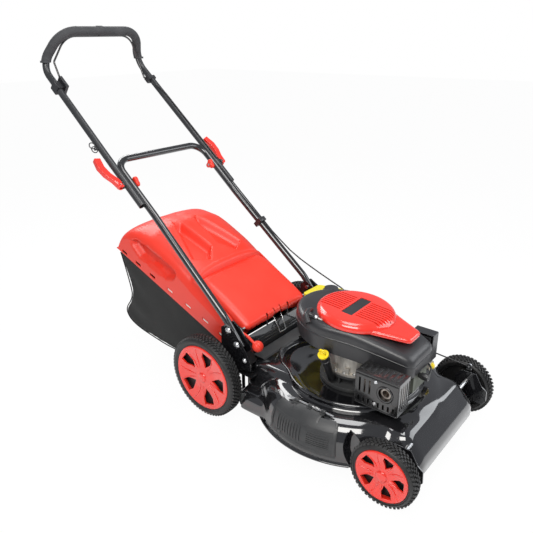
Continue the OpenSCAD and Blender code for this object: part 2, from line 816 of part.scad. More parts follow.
function across(p) = concat(p, [for (i = [len(p) - 1:-1:0]) [p[i][0], -p[i][1], p[i][2]]]);
function there_and_back(b) = concat(b, [for (i = [len(b) - 1:-1:0]) b[i]]);

module handle_lower() {
  from_axle() color(gloss) difference() {
    pipe(across(low_path), there_and_back(low_bends), tube_r);
    difference() {
      pipe(across(low_path), there_and_back(low_bends), tube_r - 1.5, 1);
      flat_zone(fold_y + press - 1.5, fold_y + 30);
    }
    flat_zone(fold_y + press, fold_y + 30);
    for (p = foot_bolts) rod_y(p, -300, 300, 4.1);
    rod_y(fold, -300, 300, 4 + run);
  }
}

up_bend = leg(90, up_y);
up_kink = [kink_x, kink_y, kink_z];
up_top = [top_x, top_y, handle_top];
up_path = [leg(-100, up_y), up_bend, up_kink, up_top];
up_bends = [0, 200, kink_bend, hoop_bend];

module handle_upper() {
  from_axle() color(satin) difference() {
    pipe(across(up_path), there_and_back(up_bends), tube_r);
    difference() {
      pipe(across(up_path), there_and_back(up_bends), tube_r - 1.5, 1);
      flat_zone(up_y - 30, up_y - press + 1.5);
    }
    flat_zone(up_y - 30, up_y - press);
    rod_y(fold, -300, 300, 4 + run);
  }
}

grip_z = 1116;
grip_path = across([up_kink + (up_bend - up_kink) * 0.3, up_kink, up_top]);
grip_bends = [0, kink_bend, hoop_bend, hoop_bend, kink_bend, 0];

// soft sleeve over the whole hoop, flared at its ends and joined in the middle
module handle_grip() {
  from_axle() color(gloss) difference() {
    union() {
      pipe(grip_path, grip_bends, grip_r);
      both_sides() translate([kink_x + 20.2, kink_y - 5, grip_z]) cylinder(r = collar_r, h = 7);
      rod([top_x, -16, handle_top], [top_x, 6, handle_top], grip_r + 2);
    }
    pipe(grip_path, grip_bends, tube_r + 0.1, 1);
    translate([-1000, -300, 900]) cube([400, 600, grip_z - 900]);
  }
}

// quick-release lever: a curved handle on an eccentric head, turning on a cross pin
cam_y = up_y + tube_r + 14;

module cam_lever(open) {
  from_axle() color(red) translate([fold[0], cam_y, fold[1]]) rotate([0, leg_angle, 0]) rotate([0, 0, -open])
    difference() {
      union() {
        translate([0, 0, -9]) cylinder(r = 12.5, h = 18);
        translate([0, 0, -9]) linear_extrude(18)
          polygon([[0, -11], [-24, -6], [-52, 8], [-84, 14], [-122, 8], [-126, 30], [-88, 38], [-52, 32],
            [-24, 18], [0, 12]]);
      }
      cylinder(r = 3 + run, h = 40, center = true);
      translate([-22, -16, -5]) cube([44, 24, 10]);
    }
}

module cam_lever_right() { mirror([0, 1, 0]) cam_lever(0); }
module cam_lever_left() { cam_lever(-8); }

module wing_knob() {
  y1 = fold_y - tube_r - 0.4;
  color(red) difference() {
    union() {
      rod_y(fold, y1 - 15, y1, 9);
      for (a = [90, 210, 330]) translate([fold[0], y1 - 13, fold[1]]) rotate([0, a, 0])
        translate([0, 0, -5]) cube([21, 9, 10]);
    }
    rod_y(fold, 150, 250, 4 + run);
  }
}

module wing_knob_right() { from_axle() mirror([0, 1, 0]) wing_knob(); }
module wing_knob_left() { from_axle() wing_knob(); }

// bolt through both tubes, its forked head and the cam lever's cross pin
module fold_bolts() {
  y0 = fold_y - tube_r - 17;
  from_axle() color(zinc) both_sides() {
    rod_y(fold, y0, cam_y - 6, 4);
    difference() {
      rod_y(fold, up_y + tube_r + 0.2, up_y + tube_r + 1.4, 11);
      rod_y(fold, up_y, cam_y, 4);
    }
    translate([fold[0], cam_y, fold[1]]) rotate([0, leg_angle, 0]) {
      cylinder(r = 3, h = 20, center = true);
      translate([-4, -7, -4.5]) cube([8, 10, 9]);
    }
  }
}

// ---- controls ----

bail_pivot = [-770, 1040];
bail_path = [[bail_pivot[0], 203, bail_pivot[1]], [bail_pivot[0], 192, bail_pivot[1]], [-806, 192, 1118],
             [top_x - 16, 146, handle_top - 17]];

module bail() { from_axle() color(gloss) pipe(across(bail_path), [0, 5, 14, 72, 72, 14, 5, 0], 3.5); }

function leg_pt(s, side_off, up_off) = up_bend + unit(up_kink - up_bend) * s
  + [sin(leg_angle) * up_off, side_off, cos(leg_angle) * up_off];

module on_leg(s) { translate(leg_pt(s, 0, 0)) rotate([0, leg_angle, 0]) children(); }

// black box that clasps the right leg, holds the bail's end and hides the switch
module control_box() {
  from_axle() color(satin) difference() {
    union() {
      mirror([0, 1, 0]) on_leg(375) {
        translate([-28, -23.2, -12]) cube([52, 11.2, 42]);
        translate([-18, -15, -16]) cube([34, 30, 34]);
      }
      on_leg(382) {
        translate([-14, -23.1, -12]) cube([24, 9.1, 26]);
        translate([-9, -15, -15]) cube([16, 29, 29]);
      }
    }
    pipe(across(up_path), there_and_back(up_bends), tube_r + 0.1);
    rod_y(bail_pivot, -205, 205, 3.5 + run);
  }
}

// wire loops that the starter rope can be hooked in, on the right leg
module rope_guide() {
  p = leg_pt(78, 0, 0);
  from_axle() color(satin) mirror([0, 1, 0]) {
    for (s = [0, 12]) translate([p[0] - s, p[1] + 26, p[2] + s]) rotate([0, 60, 0])
      rotate_extrude() translate([11, 0]) circle(r = 1.8);
    rod([p[0], p[1] + tube_r + 0.1, p[2]], [p[0], p[1] + 26, p[2]], 4);
    rod([p[0], p[1] + 16, p[2]], [p[0] - 12, p[1] + 16, p[2] + 12], 2);
  }
}

// clip that keeps the cable on the left lower tube
module cable_clip() {
  p = low_pt(-168, fold_y + 3);
  from_axle() color(satin) difference() {
    translate(p) rotate([0, leg_angle, 0]) translate([-9, -17, -17]) cube([18, 34, 39]);
    pipe(across(low_path), there_and_back(low_bends), tube_r + 0.1);
    rod(lower_route[3], lower_route[5], cable_r + 0.3);
  }
}

// brake cable: down the left leg, past the fold, along the lower tube and over to the engine
cable_r = 2.5;
upper_route = [
  leg_pt(358, -19, 6), leg_pt(340, -15, 12), leg_pt(315, -8, 15.8), leg_pt(280, -3, 16.4),
  leg_pt(210, -3, 16.4),
  leg_pt(140, -3, 16.4), leg_pt(70, -3, 16.4), leg_pt(0, -3, 16.4), leg_pt(-40, -3, 16.4),
  leg_pt(-78, -3, 16.4)];
lower_route = concat(
  [for (x = [-390, -340, -280, -220, -170, -120])
    low_pt(x, fold_y + (x + 290) / 40) + [10.8, 5, 12.6]],
  [[-80, 222, 473], [-30, 225, 437], [20, 223, 414], [70, 219, 397], [120, 214, 382], [170, 209, 368],
   [215, 204, 356], [255, 196, 343], [285, 189, 331], [298, 186, 326]]);

module brake_cable_upper() { from_axle() color(gloss) cable(upper_route, cable_r); }

module brake_cable_lower() { from_axle() color(gloss) cable(lower_route, cable_r); }

// ---- bag ----

mouth_low = [22, 216];
rim_rear = [-545, 452];
lid_outline = [[48, 300], [-60, 420], [-142, 458], [-229, 497], [-334, 546], [-385, 557], [-440, 558],
  [-486, 543], [-520, 514], [-540, 480]];

function shrink(pts, c, k) = [for (p = pts) c + (p - c) * k];

crown = [[0, 0], [50, 0], [120, -12], [162, -26], [186, -46], [196, -74], [230, -160], [230, -500]];

module lid_form(t) {
  inner = shrink(lid_outline, [-260, 400], 1 - t / 110);
  foot = t > 0 ? 12 : 0;
  intersection() {
    plate(concat([mouth_low - [foot, foot]], inner, [rim_rear + [t, -foot]]), -bag_half + t, bag_half - t);
    translate([-435, 0, 567 - t]) rotate([0, 18.5, 0]) translate([-300, 0, 0]) rotate([90, 0, 90])
      linear_extrude(1000)
        polygon(concat(crown, [for (i = [len(crown) - 1:-1:1]) [-crown[i][0], crown[i][1]]]));
  }
}

// recess for the fingers beside the lid's carrying ridge
module pocket(t) {
  hull() {
    translate([-352, 62, 500]) rotate([0, 14, 0]) cylinder(r = 16 + t, h = 80, $fn = 24);
    translate([-190, 40, 447]) rotate([0, 14, 0]) cylinder(r = 14 + t, h = 80, $fn = 24);
    translate([-196, 96, 447]) rotate([0, 14, 0]) cylinder(r = 18 + t, h = 80, $fn = 24);
  }
}

module flap_space(grow) {
  translate([flap_hinge[0], 0, flap_hinge[1]]) rotate([0, flap_slope, 0])
    translate([-248 - grow, -172 - grow, -13 - grow]) cube([308 + grow, 344 + 2 * grow, 70 + grow]);
}

module bag_lid() {
  rim_dir = unit(mouth_low - rim_rear);
  from_axle() color(red) difference() {
    lid_form(0);
    difference() {
      lid_form(bag_wall);
      flap_space(3);
      both_sides() translate([0, 0, -3]) pocket(3);
    }
    flap_space(0);
    both_sides() pocket(0);
    // mouth, where the lid fits over the deck's housing
    translate([5, -189, 200]) cube([60, 378, 90]);
    translate([40, -189, 200]) cube([30, 378, 120]);
    for (i = [0:6]) {
      slot = rim_rear + rim_dir * (62 + 80 * i);
      translate([slot[0], 0, slot[1]]) rotate([0, 22.6, 0]) translate([-12, -250, 8]) cube([24, 500, 9]);
    }
  }
}

cloth = [[14, 212], [-60, 170], [-150, 116], [-276, 107], [-460, 133], [-512, 154], [-533, 178],
  [-530, 204], [-490, 262], [-492, 290], [-536, 444]];

// woven body under the lid, pinched above its rounded tail
module bag_fabric() {
  cloth_half = bag_half - 6;
  inner = shrink(cloth, [-270, 240], 0.975);
  from_axle() color(satin) difference() {
    plate(cloth, -cloth_half, cloth_half);
    plate(concat([inner[0] + [14, 6]], [for (i = [1:10]) inner[i]], [[-500, 480], [40, 240]]),
      -cloth_half + bag_wall, cloth_half - bag_wall);
  }
}

// wire frame that holds the mouth open, with the hooks the bag hangs on
module bag_frame() {
  low = [4, 226];
  top = [9, 287];
  half = bag_half - 18;
  from_axle() color(gloss)
    pipe(across([[low[0], 0, low[1]], [low[0], half, low[1]], [top[0], half, top[1]]]),
      [0, 14, 14, 14, 14, 0], 3.5);
}

deck_shell();
rear_housing();
handle_bracket_right();
handle_bracket_left();
front_brackets();
deck_bolts();
discharge_cover();
hinge_rods();
hinge_springs();
rear_flap();
height_lever();
rear_axle();
front_axle();
height_link();
rear_tyre(-1);  // tyre_rear_right
rear_tyre(1);  // tyre_rear_left
front_tyre(-1);  // tyre_front_right
front_tyre(1);  // tyre_front_left
rear_rim(-1);  // rim_rear_right
rear_rim(1);  // rim_rear_left
front_rim(-1);  // rim_front_right
front_rim(1);  // rim_front_left
sump();
crankcase();
cylinder_head();
blower_shroud();
top_cover();
starter_grip();
flywheel();
crankshaft();
blade_adapter();
blade();
blade_bolt();
fuel_tank();
fuel_cap();
oil_filler();
dipstick();
muffler();
muffler_guard();
air_filter();
carburettor();
primer_bulb();
spark_plug();
handle_lower();
handle_upper();
handle_grip();
cam_lever_right();
cam_lever_left();
wing_knob_right();
wing_knob_left();
fold_bolts();
bail();
control_box();
rope_guide();
cable_clip();
brake_cable_upper();
brake_cable_lower();
bag_frame();
bag_lid();
bag_fabric();
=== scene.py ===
import contextlib
import math

import bmesh
import bpy
from mathutils import Matrix, Vector, noise


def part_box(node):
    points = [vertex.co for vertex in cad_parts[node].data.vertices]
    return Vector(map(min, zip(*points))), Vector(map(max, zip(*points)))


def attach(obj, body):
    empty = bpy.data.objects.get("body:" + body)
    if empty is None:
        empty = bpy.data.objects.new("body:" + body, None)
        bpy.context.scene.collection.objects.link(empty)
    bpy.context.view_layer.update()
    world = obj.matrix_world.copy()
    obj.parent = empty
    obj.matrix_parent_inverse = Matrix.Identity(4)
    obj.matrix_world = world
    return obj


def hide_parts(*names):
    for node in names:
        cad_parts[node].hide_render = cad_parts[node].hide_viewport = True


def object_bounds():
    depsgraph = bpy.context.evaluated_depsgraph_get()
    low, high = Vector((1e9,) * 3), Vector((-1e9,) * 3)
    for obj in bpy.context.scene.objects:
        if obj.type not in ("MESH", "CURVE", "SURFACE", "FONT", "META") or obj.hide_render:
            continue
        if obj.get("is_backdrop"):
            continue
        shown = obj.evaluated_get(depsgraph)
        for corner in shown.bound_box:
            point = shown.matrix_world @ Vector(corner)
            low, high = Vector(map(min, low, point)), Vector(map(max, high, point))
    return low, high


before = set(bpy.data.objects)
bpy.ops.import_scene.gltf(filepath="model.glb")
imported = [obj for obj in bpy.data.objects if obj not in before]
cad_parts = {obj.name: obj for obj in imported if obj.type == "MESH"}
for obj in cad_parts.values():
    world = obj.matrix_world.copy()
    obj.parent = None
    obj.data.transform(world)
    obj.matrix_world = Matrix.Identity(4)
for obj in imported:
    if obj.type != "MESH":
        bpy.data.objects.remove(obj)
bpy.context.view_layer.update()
scene = bpy.context.scene
hands = ((-1, "right"), (1, "left"))


def add_node(tree, kind, operation=None, values=()):
    """Adds a shader node; values holds pairs of an input and its value."""
    made = tree.nodes.new("ShaderNode" + kind)
    if operation:
        made.operation = operation
    for key, value in values:
        made.inputs[key].default_value = value
    return made


def link_up(tree, *pairs):
    """Links nodes: each entry gives a node and its output, then a node and its input."""
    for source, out, target, into in pairs:
        tree.links.new(source.outputs[out], target.inputs[into])


# ---- Studio ----
# A pale sweep of seamless floor, one large soft lamp over the right shoulder, a fill from the
# left and a rim lamp behind, with the camera standing ahead and to the right of the mower.

camera = bpy.data.objects.new("camera", bpy.data.cameras.new("camera"))
scene.collection.objects.link(camera)
scene.camera = camera
camera.data.sensor_width = 36
camera.data.lens = 38.54
turn, tilt, roll = math.radians(39.43), math.radians(22.19), math.radians(-0.53)
back = Vector((math.sin(turn) * math.cos(tilt), -math.cos(turn) * math.cos(tilt), math.sin(tilt)))
right = (-back).cross(Vector((0, 0, 1))).normalized()
up = right.cross(-back)
side = right * math.cos(roll) + up * math.sin(roll)
top = up * math.cos(roll) - right * math.sin(roll)
seat = Matrix((side, top, back)).transposed().to_4x4()
seat.translation = Vector((1.2387, -1.4183, 1.2071))
camera.matrix_world = seat

bpy.ops.mesh.primitive_plane_add(size=30, location=(0, 0, -0.0005))
floor = bpy.context.object
floor.name = "floor"
floor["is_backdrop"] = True
paper = bpy.data.materials.new("floor_paper")
paper.use_nodes = True
tree = paper.node_tree
shader = tree.nodes["Principled BSDF"]
shader.inputs["Base Color"].default_value = (0.9, 0.9, 0.9, 1)
shader.inputs["Roughness"].default_value = 0.85
shader.inputs["Specular IOR Level"].default_value = 0.2
white = add_node(tree, "Emission", values=[("Color", (1, 1, 1, 1))])
path = add_node(tree, "LightPath")
share = add_node(tree, "Math", "MULTIPLY", [(1, 0.97)])
blend = add_node(tree, "MixShader")
link_up(tree, (path, "Is Camera Ray", share, 0), (share, 0, blend, 0), (shader, 0, blend, 1),
        (white, 0, blend, 2), (blend, 0, tree.nodes["Material Output"], "Surface"))
floor.data.materials.append(paper)

world = bpy.data.worlds.new("studio")
scene.world = world
world.use_nodes = True
tree = world.node_tree
dim = tree.nodes["Background"]
dim.inputs["Color"].default_value = (0.9, 0.93, 1, 1)
dim.inputs["Strength"].default_value = 0.42
bright = add_node(tree, "Background", values=[("Color", (1, 1, 1, 1)), ("Strength", 1.0)])
path = add_node(tree, "LightPath")
blend = add_node(tree, "MixShader")
link_up(tree, (path, "Is Camera Ray", blend, 0), (dim, 0, blend, 1), (bright, 0, blend, 2),
        (blend, 0, tree.nodes["World Output"], "Surface"))

for name, place, width, height, power, tint in (
        ("key", (1.0, -1.7, 2.4), 1.6, 1.1, 62, (1, 0.98, 0.95)),
        ("fill", (1.9, 1.3, 1.5), 1.8, 1.2, 24, (0.94, 0.97, 1)),
        ("rear", (-1.9, 0.6, 2.2), 1.6, 1.0, 36, (1, 1, 1)),
        ("overhead", (0.3, 0.1, 2.9), 1.4, 0.9, 26, (1, 1, 1))):
    lamp = bpy.data.objects.new(name, bpy.data.lights.new(name, "AREA"))
    scene.collection.objects.link(lamp)
    lamp.data.shape = "RECTANGLE"
    lamp.data.size, lamp.data.size_y = width, height
    lamp.data.energy = power
    lamp.data.color = tint
    lamp.location = place
    aim = Vector((0.05, 0, 0.35)) - Vector(place)
    lamp.rotation_euler = aim.to_track_quat("-Z", "Y").to_euler()
scene.view_settings.view_transform = "Standard"

# ---- Deck ----
# One sheet of steel, pressed into a round blade chamber with a tunnel behind and a squared nose
# in front, rolled under at the skirt and finished in thick gloss black enamel.

rear_low, rear_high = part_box("tyre_rear_right")
rear_x = (rear_low.x + rear_high.x) / 2
# Distances ahead of the rear axle, and heights of the two axles
crank_x, front_x = 405, 670
rear_z, front_z = 144, 100
box_faces = [(0, 1, 3, 2), (4, 6, 7, 5), (0, 4, 5, 1), (2, 3, 7, 6), (0, 2, 6, 4), (1, 5, 7, 3)]


def at(x, y, z):
    """A point given in millimetres forward of the rear axle, to the left, and above the ground."""
    return Vector((rear_x + x / 1000, y / 1000, z / 1000))


@contextlib.contextmanager
def editing(mesh):
    """Opens a mesh for editing and writes it back."""
    made = bmesh.new()
    made.from_mesh(mesh)
    yield made
    made.to_mesh(mesh)
    made.free()


def smooth_all(mesh):
    for face in mesh.polygons:
        face.use_smooth = True


def placed(name, data):
    """Puts a mesh or a curve into the scene."""
    obj = bpy.data.objects.new(name, data)
    scene.collection.objects.link(obj)
    return obj


def solid(name, points, faces, body, smooth=True):
    """A piece made of points and faces, on a body, or on none while it is a cutter or a core."""
    mesh = bpy.data.meshes.new(name)
    mesh.from_pydata([tuple(p) for p in points], [], faces)
    mesh.validate()
    with editing(mesh) as made:
        bmesh.ops.recalc_face_normals(made, faces=made.faces)
    obj = placed(name, mesh)
    for face in mesh.polygons:
        face.use_smooth = smooth
    if body:
        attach(obj, body)
    return obj


def settle(obj):
    """Applies the modifiers of a piece."""
    graph = bpy.context.evaluated_depsgraph_get()
    graph.update()
    done = bpy.data.meshes.new_from_object(obj.evaluated_get(graph))
    obj.modifiers.clear()
    obj.data = done
    return obj


def modify(obj, name, kind, **settings):
    """Adds a modifier with its settings."""
    step = obj.modifiers.new(name, kind)
    for key, value in settings.items():
        setattr(step, key, value)
    return obj


def soften(obj, width, angle=35, steps=2):
    """Rounds the sharp edges of a piece by width millimetres."""
    modify(obj, "weld", "WELD", merge_threshold=0.00002)
    return modify(obj, "edges", "BEVEL", width=width / 1000, segments=steps, limit_method="ANGLE",
                  angle_limit=math.radians(angle), harden_normals=True)


def combine(obj, others, operation):
    """Joins other pieces to a piece, or takes them out of it, and removes them."""
    for other in others:
        modify(obj, "combine", "BOOLEAN", operation=operation, solver="EXACT", object=other)
    settle(obj)
    for other in others:
        bpy.data.objects.remove(other)
    return obj


def carve(obj, *cutters):
    return combine(obj, cutters, "DIFFERENCE")


def lathe(name, outline, middle, axis, body, turns=64):
    """A turned piece: outline holds (radius, distance along the axis) in millimetres."""
    axis = Vector(axis).normalized()
    first = axis.orthogonal().normalized()
    second = axis.cross(first)
    points, faces = [], []
    for i in range(turns):
        a = math.radians(360) * i / turns
        out = first * math.cos(a) + second * math.sin(a)
        points += [middle + out * (r / 1000) + axis * (h / 1000) for r, h in outline]
    n = len(outline)
    for i in range(turns):
        for k in range(n - 1):
            a, b = i * n + k, (i + 1) % turns * n + k
            faces.append((a, a + 1, b + 1, b))
    obj = solid(name, points, faces, body)
    with editing(obj.data) as made:
        bmesh.ops.remove_doubles(made, verts=made.verts, dist=0.00001)
        bmesh.ops.recalc_face_normals(made, faces=made.faces)
    return obj


def post(name, start, end, radius, sides=32):
    """A plain round bar, used as a cutter or as the core of another piece."""
    line = end - start
    return lathe(name, [(0, 0), (radius, 0), (radius, line.length * 1000), (0, line.length * 1000)],
                 start, line, None, sides)


def block(name, low, high):
    """A plain box between two corners, used as a cutter or as the core of another piece."""
    x, y, z = (low.x, high.x), (low.y, high.y), (low.z, high.z)
    points = [(i, j, k) for i in x for j in y for k in z]
    return solid(name, points, box_faces, None, False)


surface = bpy.data.node_groups.new("Finish", "ShaderNodeTree")
for label, kind, value in (
        ("Colour", "NodeSocketColor", (0.5, 0.5, 0.5, 1)),
        ("Dusty Colour", "NodeSocketColor", (0.5, 0.5, 0.5, 1)),
        ("Dust", "NodeSocketFloat", 0.2), ("Dust Scale", "NodeSocketFloat", 12.0),
        ("Roughness", "NodeSocketFloat", 0.4), ("Roughness Swing", "NodeSocketFloat", 0.1),
        ("Grain Scale", "NodeSocketFloat", 900.0), ("Grain Detail", "NodeSocketFloat", 2.0)):
    socket = surface.interface.new_socket(label, in_out="INPUT", socket_type=kind)
    socket.default_value = value
for label, kind in (("Colour", "NodeSocketColor"), ("Roughness", "NodeSocketFloat"),
        ("Height", "NodeSocketFloat")):
    surface.interface.new_socket(label, in_out="OUTPUT", socket_type=kind)
given = surface.nodes.new("NodeGroupInput")
result = surface.nodes.new("NodeGroupOutput")
place = add_node(surface, "TexCoord")
patches = add_node(surface, "TexNoise", values=[("Detail", 6)])
grain = add_node(surface, "TexNoise")
spread = add_node(surface, "MapRange", values=[("From Min", 0.42), ("From Max", 0.72)])
amount = add_node(surface, "Math", "MULTIPLY")
tone = add_node(surface, "Mix")
tone.data_type = "RGBA"
centred = add_node(surface, "Math", "SUBTRACT", [(1, 0.5)])
swing = add_node(surface, "Math", "MULTIPLY_ADD")
tone_a, tone_b, tone_out = 6, 7, 2
link_up(surface, (place, "Object", patches, "Vector"), (place, "Object", grain, "Vector"),
        (given, "Dust Scale", patches, "Scale"), (given, "Grain Scale", grain, "Scale"),
        (given, "Grain Detail", grain, "Detail"), (patches, 0, spread, "Value"),
        (spread, 0, amount, 0), (given, "Dust", amount, 1), (amount, 0, tone, 0),
        (given, "Colour", tone, tone_a), (given, "Dusty Colour", tone, tone_b),
        (tone, tone_out, result, "Colour"), (patches, 0, centred, 0), (centred, 0, swing, 0),
        (given, "Roughness Swing", swing, 1), (given, "Roughness", swing, 2),
        (swing, 0, result, "Roughness"), (grain, 0, result, "Height"))


def finish(name, colour, dusty, dust, rough, swing, grain, depth, metal=0.0, coat=0.0, scale=12.0,
        detail=2.0):
    """A material of the Finish group: grain is its scale, depth its height in millimetres."""
    material = bpy.data.materials.new(name)
    material.use_nodes = True
    tree = material.node_tree
    shader = tree.nodes["Principled BSDF"]
    shader.inputs["Metallic"].default_value = metal
    shader.inputs["Coat Weight"].default_value = coat
    shader.inputs["Coat Roughness"].default_value = 0.06
    skin = add_node(tree, "Group")
    skin.node_tree = surface
    skin.name = "skin"
    for label, value in (("Colour", (*colour, 1)), ("Dusty Colour", (*dusty, 1)), ("Dust", dust),
            ("Dust Scale", scale),
                         ("Roughness", rough), ("Roughness Swing", swing), ("Grain Scale", grain),
                         ("Grain Detail", detail)):
        skin.inputs[label].default_value = value
    bump = add_node(tree, "Bump", values=[("Strength", 0.6), ("Distance", depth / 1000)])
    bump.name = "bump"
    link_up(tree, (skin, "Colour", shader, "Base Color"), (skin, "Roughness", shader, "Roughness"),
            (skin, "Height", bump, "Height"), (bump, "Normal", shader, "Normal"))
    return material


def paint(obj, material):
    obj.data.materials.clear()
    obj.data.materials.append(material)
    return obj


def dress(node, material, edge=0.0, angle=35):
    """Finishes a piece of the frame as it stands, with its edges rounded by edge millimetres."""
    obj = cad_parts[node]
    paint(obj, material)
    if edge:
        soften(obj, edge, angle)
    return obj


enamel = finish("black_enamel", (0.006, 0.006, 0.007), (0.03, 0.03, 0.032), 0.3, 0.1, 0.08, 60, 0.02,
        coat=1.0, scale=7)
shell_parts = []
dome = [(0, 40), (314, 40), (314, 66), (311, 78)]
for i in range(13):
    a = math.radians(90 * i / 12)
    dome.append((240 + 69 * math.cos(a), 108 + 73 * math.sin(a)))
dome.append((0, 181))
shell_parts.append(lathe("dome", dome, at(crank_x, 0, 0), (0, 0, 1), None, 96))
for half, low_x, high_z, round_mm in ((200, 90, 195, 45), (262, 110, 126, 34)):
    part = block("tunnel", at(low_x, -half, 40), at(330, half, high_z))
    modify(part, "edge", "BEVEL", width=round_mm / 1000, segments=8, limit_method="NONE")
    shell_parts.append(settle(part))
nose = bmesh.new()
for x, y, r, z0, z1 in ((676, 168, 63, 40, 86), (676, 164, 57, 40, 103), (675, 160, 45, 40, 121),
        (560, 168, 62, 40, 118),
                        (560, 160, 40, 40, 134)):
    for hand in (-1, 1):
        for z in (z0, z1):
            bmesh.ops.create_circle(nose, segments=32, radius=r / 1000,
                    matrix=Matrix.Translation(at(x, hand * y, z)))
        bmesh.ops.create_icosphere(nose, subdivisions=3, radius=0.036,
                                   matrix=Matrix.Translation(at(min(x, 667), hand * 158, 134)))


def hull_of(name, made):
    """Makes a piece of the hull of everything in a bmesh."""
    bmesh.ops.delete(made, geom=made.edges[:], context="EDGES_FACES")
    spare = bmesh.ops.convex_hull(made, input=made.verts)["geom_interior"]
    bmesh.ops.delete(made, geom=[v for v in spare if isinstance(v, bmesh.types.BMVert)], context="VERTS")
    mesh = bpy.data.meshes.new(name)
    made.to_mesh(mesh)
    made.free()
    return placed(name, mesh)


shell_parts.append(hull_of("nose", nose))
deck = shell_parts[0]
deck.name = "deck_pressing"
combine(deck, shell_parts[1:], "UNION")
settle(modify(deck, "skin", "REMESH", mode="VOXEL", voxel_size=0.0048))
settle(modify(deck, "relax", "SMOOTH", factor=0.8, iterations=14))
arches = [block("under", at(-100, -400, 0), at(900, 400, 61))]
for hand in (-1, 1):
    for x, z, inner, radius in ((front_x, front_z, 248, 110), (646, 130, 248, 108),
            (0, rear_z, 246, 154)):
        arches.append(post("arch", at(x, hand * inner, z), at(x, hand * 360, z), radius, 64))
arches.append(post("well", at(crank_x, 0, 120), at(crank_x, 0, 260), 211, 96))
arches.append(post("well", at(278, 0, 120), at(278, 0, 260), 143, 96))
arches.append(block("chute", at(60, -182, 128), at(104, 182, 190)))
carve(deck, *arches)
with editing(deck.data) as made:
    gone = [f for f in made.faces if f.normal.z < -0.98 and f.calc_center_median().z < 0.0625]
    bmesh.ops.delete(made, geom=gone, context="FACES")
smooth_all(deck.data)
paint(deck, enamel)
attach(deck, "deck")
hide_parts("deck_shell")

# Rolled rim of the well that the engine stands in: a round with a smaller lobe behind it, and the
# pressed floor inside, in the same enamel.

def well_outline(grow, steps=144):
    """The well's outline seen from above, drawn outward by grow millimetres."""
    hub = Vector((360, 0))
    reach = []
    for i in range(steps):
        way = Vector((math.cos(2 * math.pi * i / steps), math.sin(2 * math.pi * i / steps)))
        far = 0
        for centre, radius in ((Vector((crank_x, 0)), 208), (Vector((278, 0)), 140)):
            gap = hub - centre
            b = gap.dot(way)
            far = max(far, -b + math.sqrt(b * b - gap.dot(gap) + radius * radius))
        reach.append(far)
    for _ in range(10):
        reach = [(reach[i - 1] + 2 * reach[i] + reach[(i + 1) % steps]) / 4 for i in range(steps)]
    line = [hub + Vector((math.cos(2 * math.pi * i / steps),
            math.sin(2 * math.pi * i / steps))) * reach[i]
            for i in range(steps)]
    grown = []
    for i in range(steps):
        along = (line[(i + 1) % steps] - line[i - 1]).normalized()
        grown.append(line[i] + Vector((along.y, -along.x)) * grow)
    return grown


def rings(name, loops, body, closed=True, cap=False):
    """A skin through a list of point loops, closed round each loop."""
    n = len(loops[0])
    points = [p for loop in loops for p in loop]
    faces = []
    for j in range(len(loops) - 1):
        for i in range(n if closed else n - 1):
            k = (i + 1) % n
            faces.append((j * n + i, j * n + k, (j + 1) * n + k, (j + 1) * n + i))
    if cap:
        faces.append(tuple(range(n))[::-1])
        faces.append(tuple((len(loops) - 1) * n + i for i in range(n)))
    return solid(name, points, faces, body)


rim_section = ((-90, 170.5), (-36, 170.5), (-32, 172), (-26, 172), (-6, 171.5), (-3, 173), (-1.5, 178),
        (-1, 188), (0, 194),
               (2.5, 198), (6, 199.4), (9, 198), (10.5, 194), (10, 188), (12, 183), (20, 178))
rim = rings("well_rim", [[at(p.x, p.y, z) for p in well_outline(g)] for g, z in rim_section], "deck")
paint(rim, enamel)
paint(solid("well_floor", [at(p.x, p.y, 170.4) for p in well_outline(-60)], [tuple(range(144))], "deck"),
      enamel)

# Flange: the skirt's edge, rolled outward into a bead that stiffens the chamber.
bead = lathe("skirt_bead", [(311, 70), (313, 66), (320, 65.5), (322, 63), (321.5, 60.8), (318, 60),
        (309, 60.5)],
             at(crank_x, 0, 0), (0, 0, 1), None, 160)


def off_bead(face):
    """Whether a face of the bead lies ahead of the skirt, behind it or in a wheel arch."""
    x, y, z = (face.calc_center_median() - at(0, 0, 0)) * 1000
    return (x > 668 or (x < 180 and abs(y) < 200) or math.hypot(x - front_x, z - front_z) < 112
            or math.hypot(x, z - rear_z) < 154)


with editing(bead.data) as made:
    bmesh.ops.delete(made, geom=[f for f in made.faces if off_bead(f)], context="FACES")
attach(bead, "deck")
paint(bead, enamel)

# Housing behind the chamber, the two pressed brackets for the handle's feet, and the front ears,
# all bent from sheet and enamelled like the deck.
for node in ("rear_housing", "handle_bracket_right", "handle_bracket_left", "front_brackets"):
    dress(node, enamel, 0.7)
shelf = finish("matt_shelf", (0.035, 0.036, 0.038), (0.08, 0.08, 0.08), 0.5, 0.5, 0.1, 500, 0.05)
ledge = rings("tunnel_shelf", [[at(x, y, z) for x, z in
              ((92, 192), (98, 197.5), (104, 198.5), (136, 198.5), (142, 197.5), (146, 192))]
              for y in (-150, 150)],
              "deck", closed=False)
modify(ledge, "thick", "SOLIDIFY", thickness=-0.002)
paint(soften(ledge, 0.5), shelf)
for k, z in enumerate((214, 226, 238)):
    rib = block("housing_rib_%d" % k, at(88, -168, z), at(91.5, 168, z + 3))
    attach(rib, "deck")
    paint(soften(rib, 1), enamel)

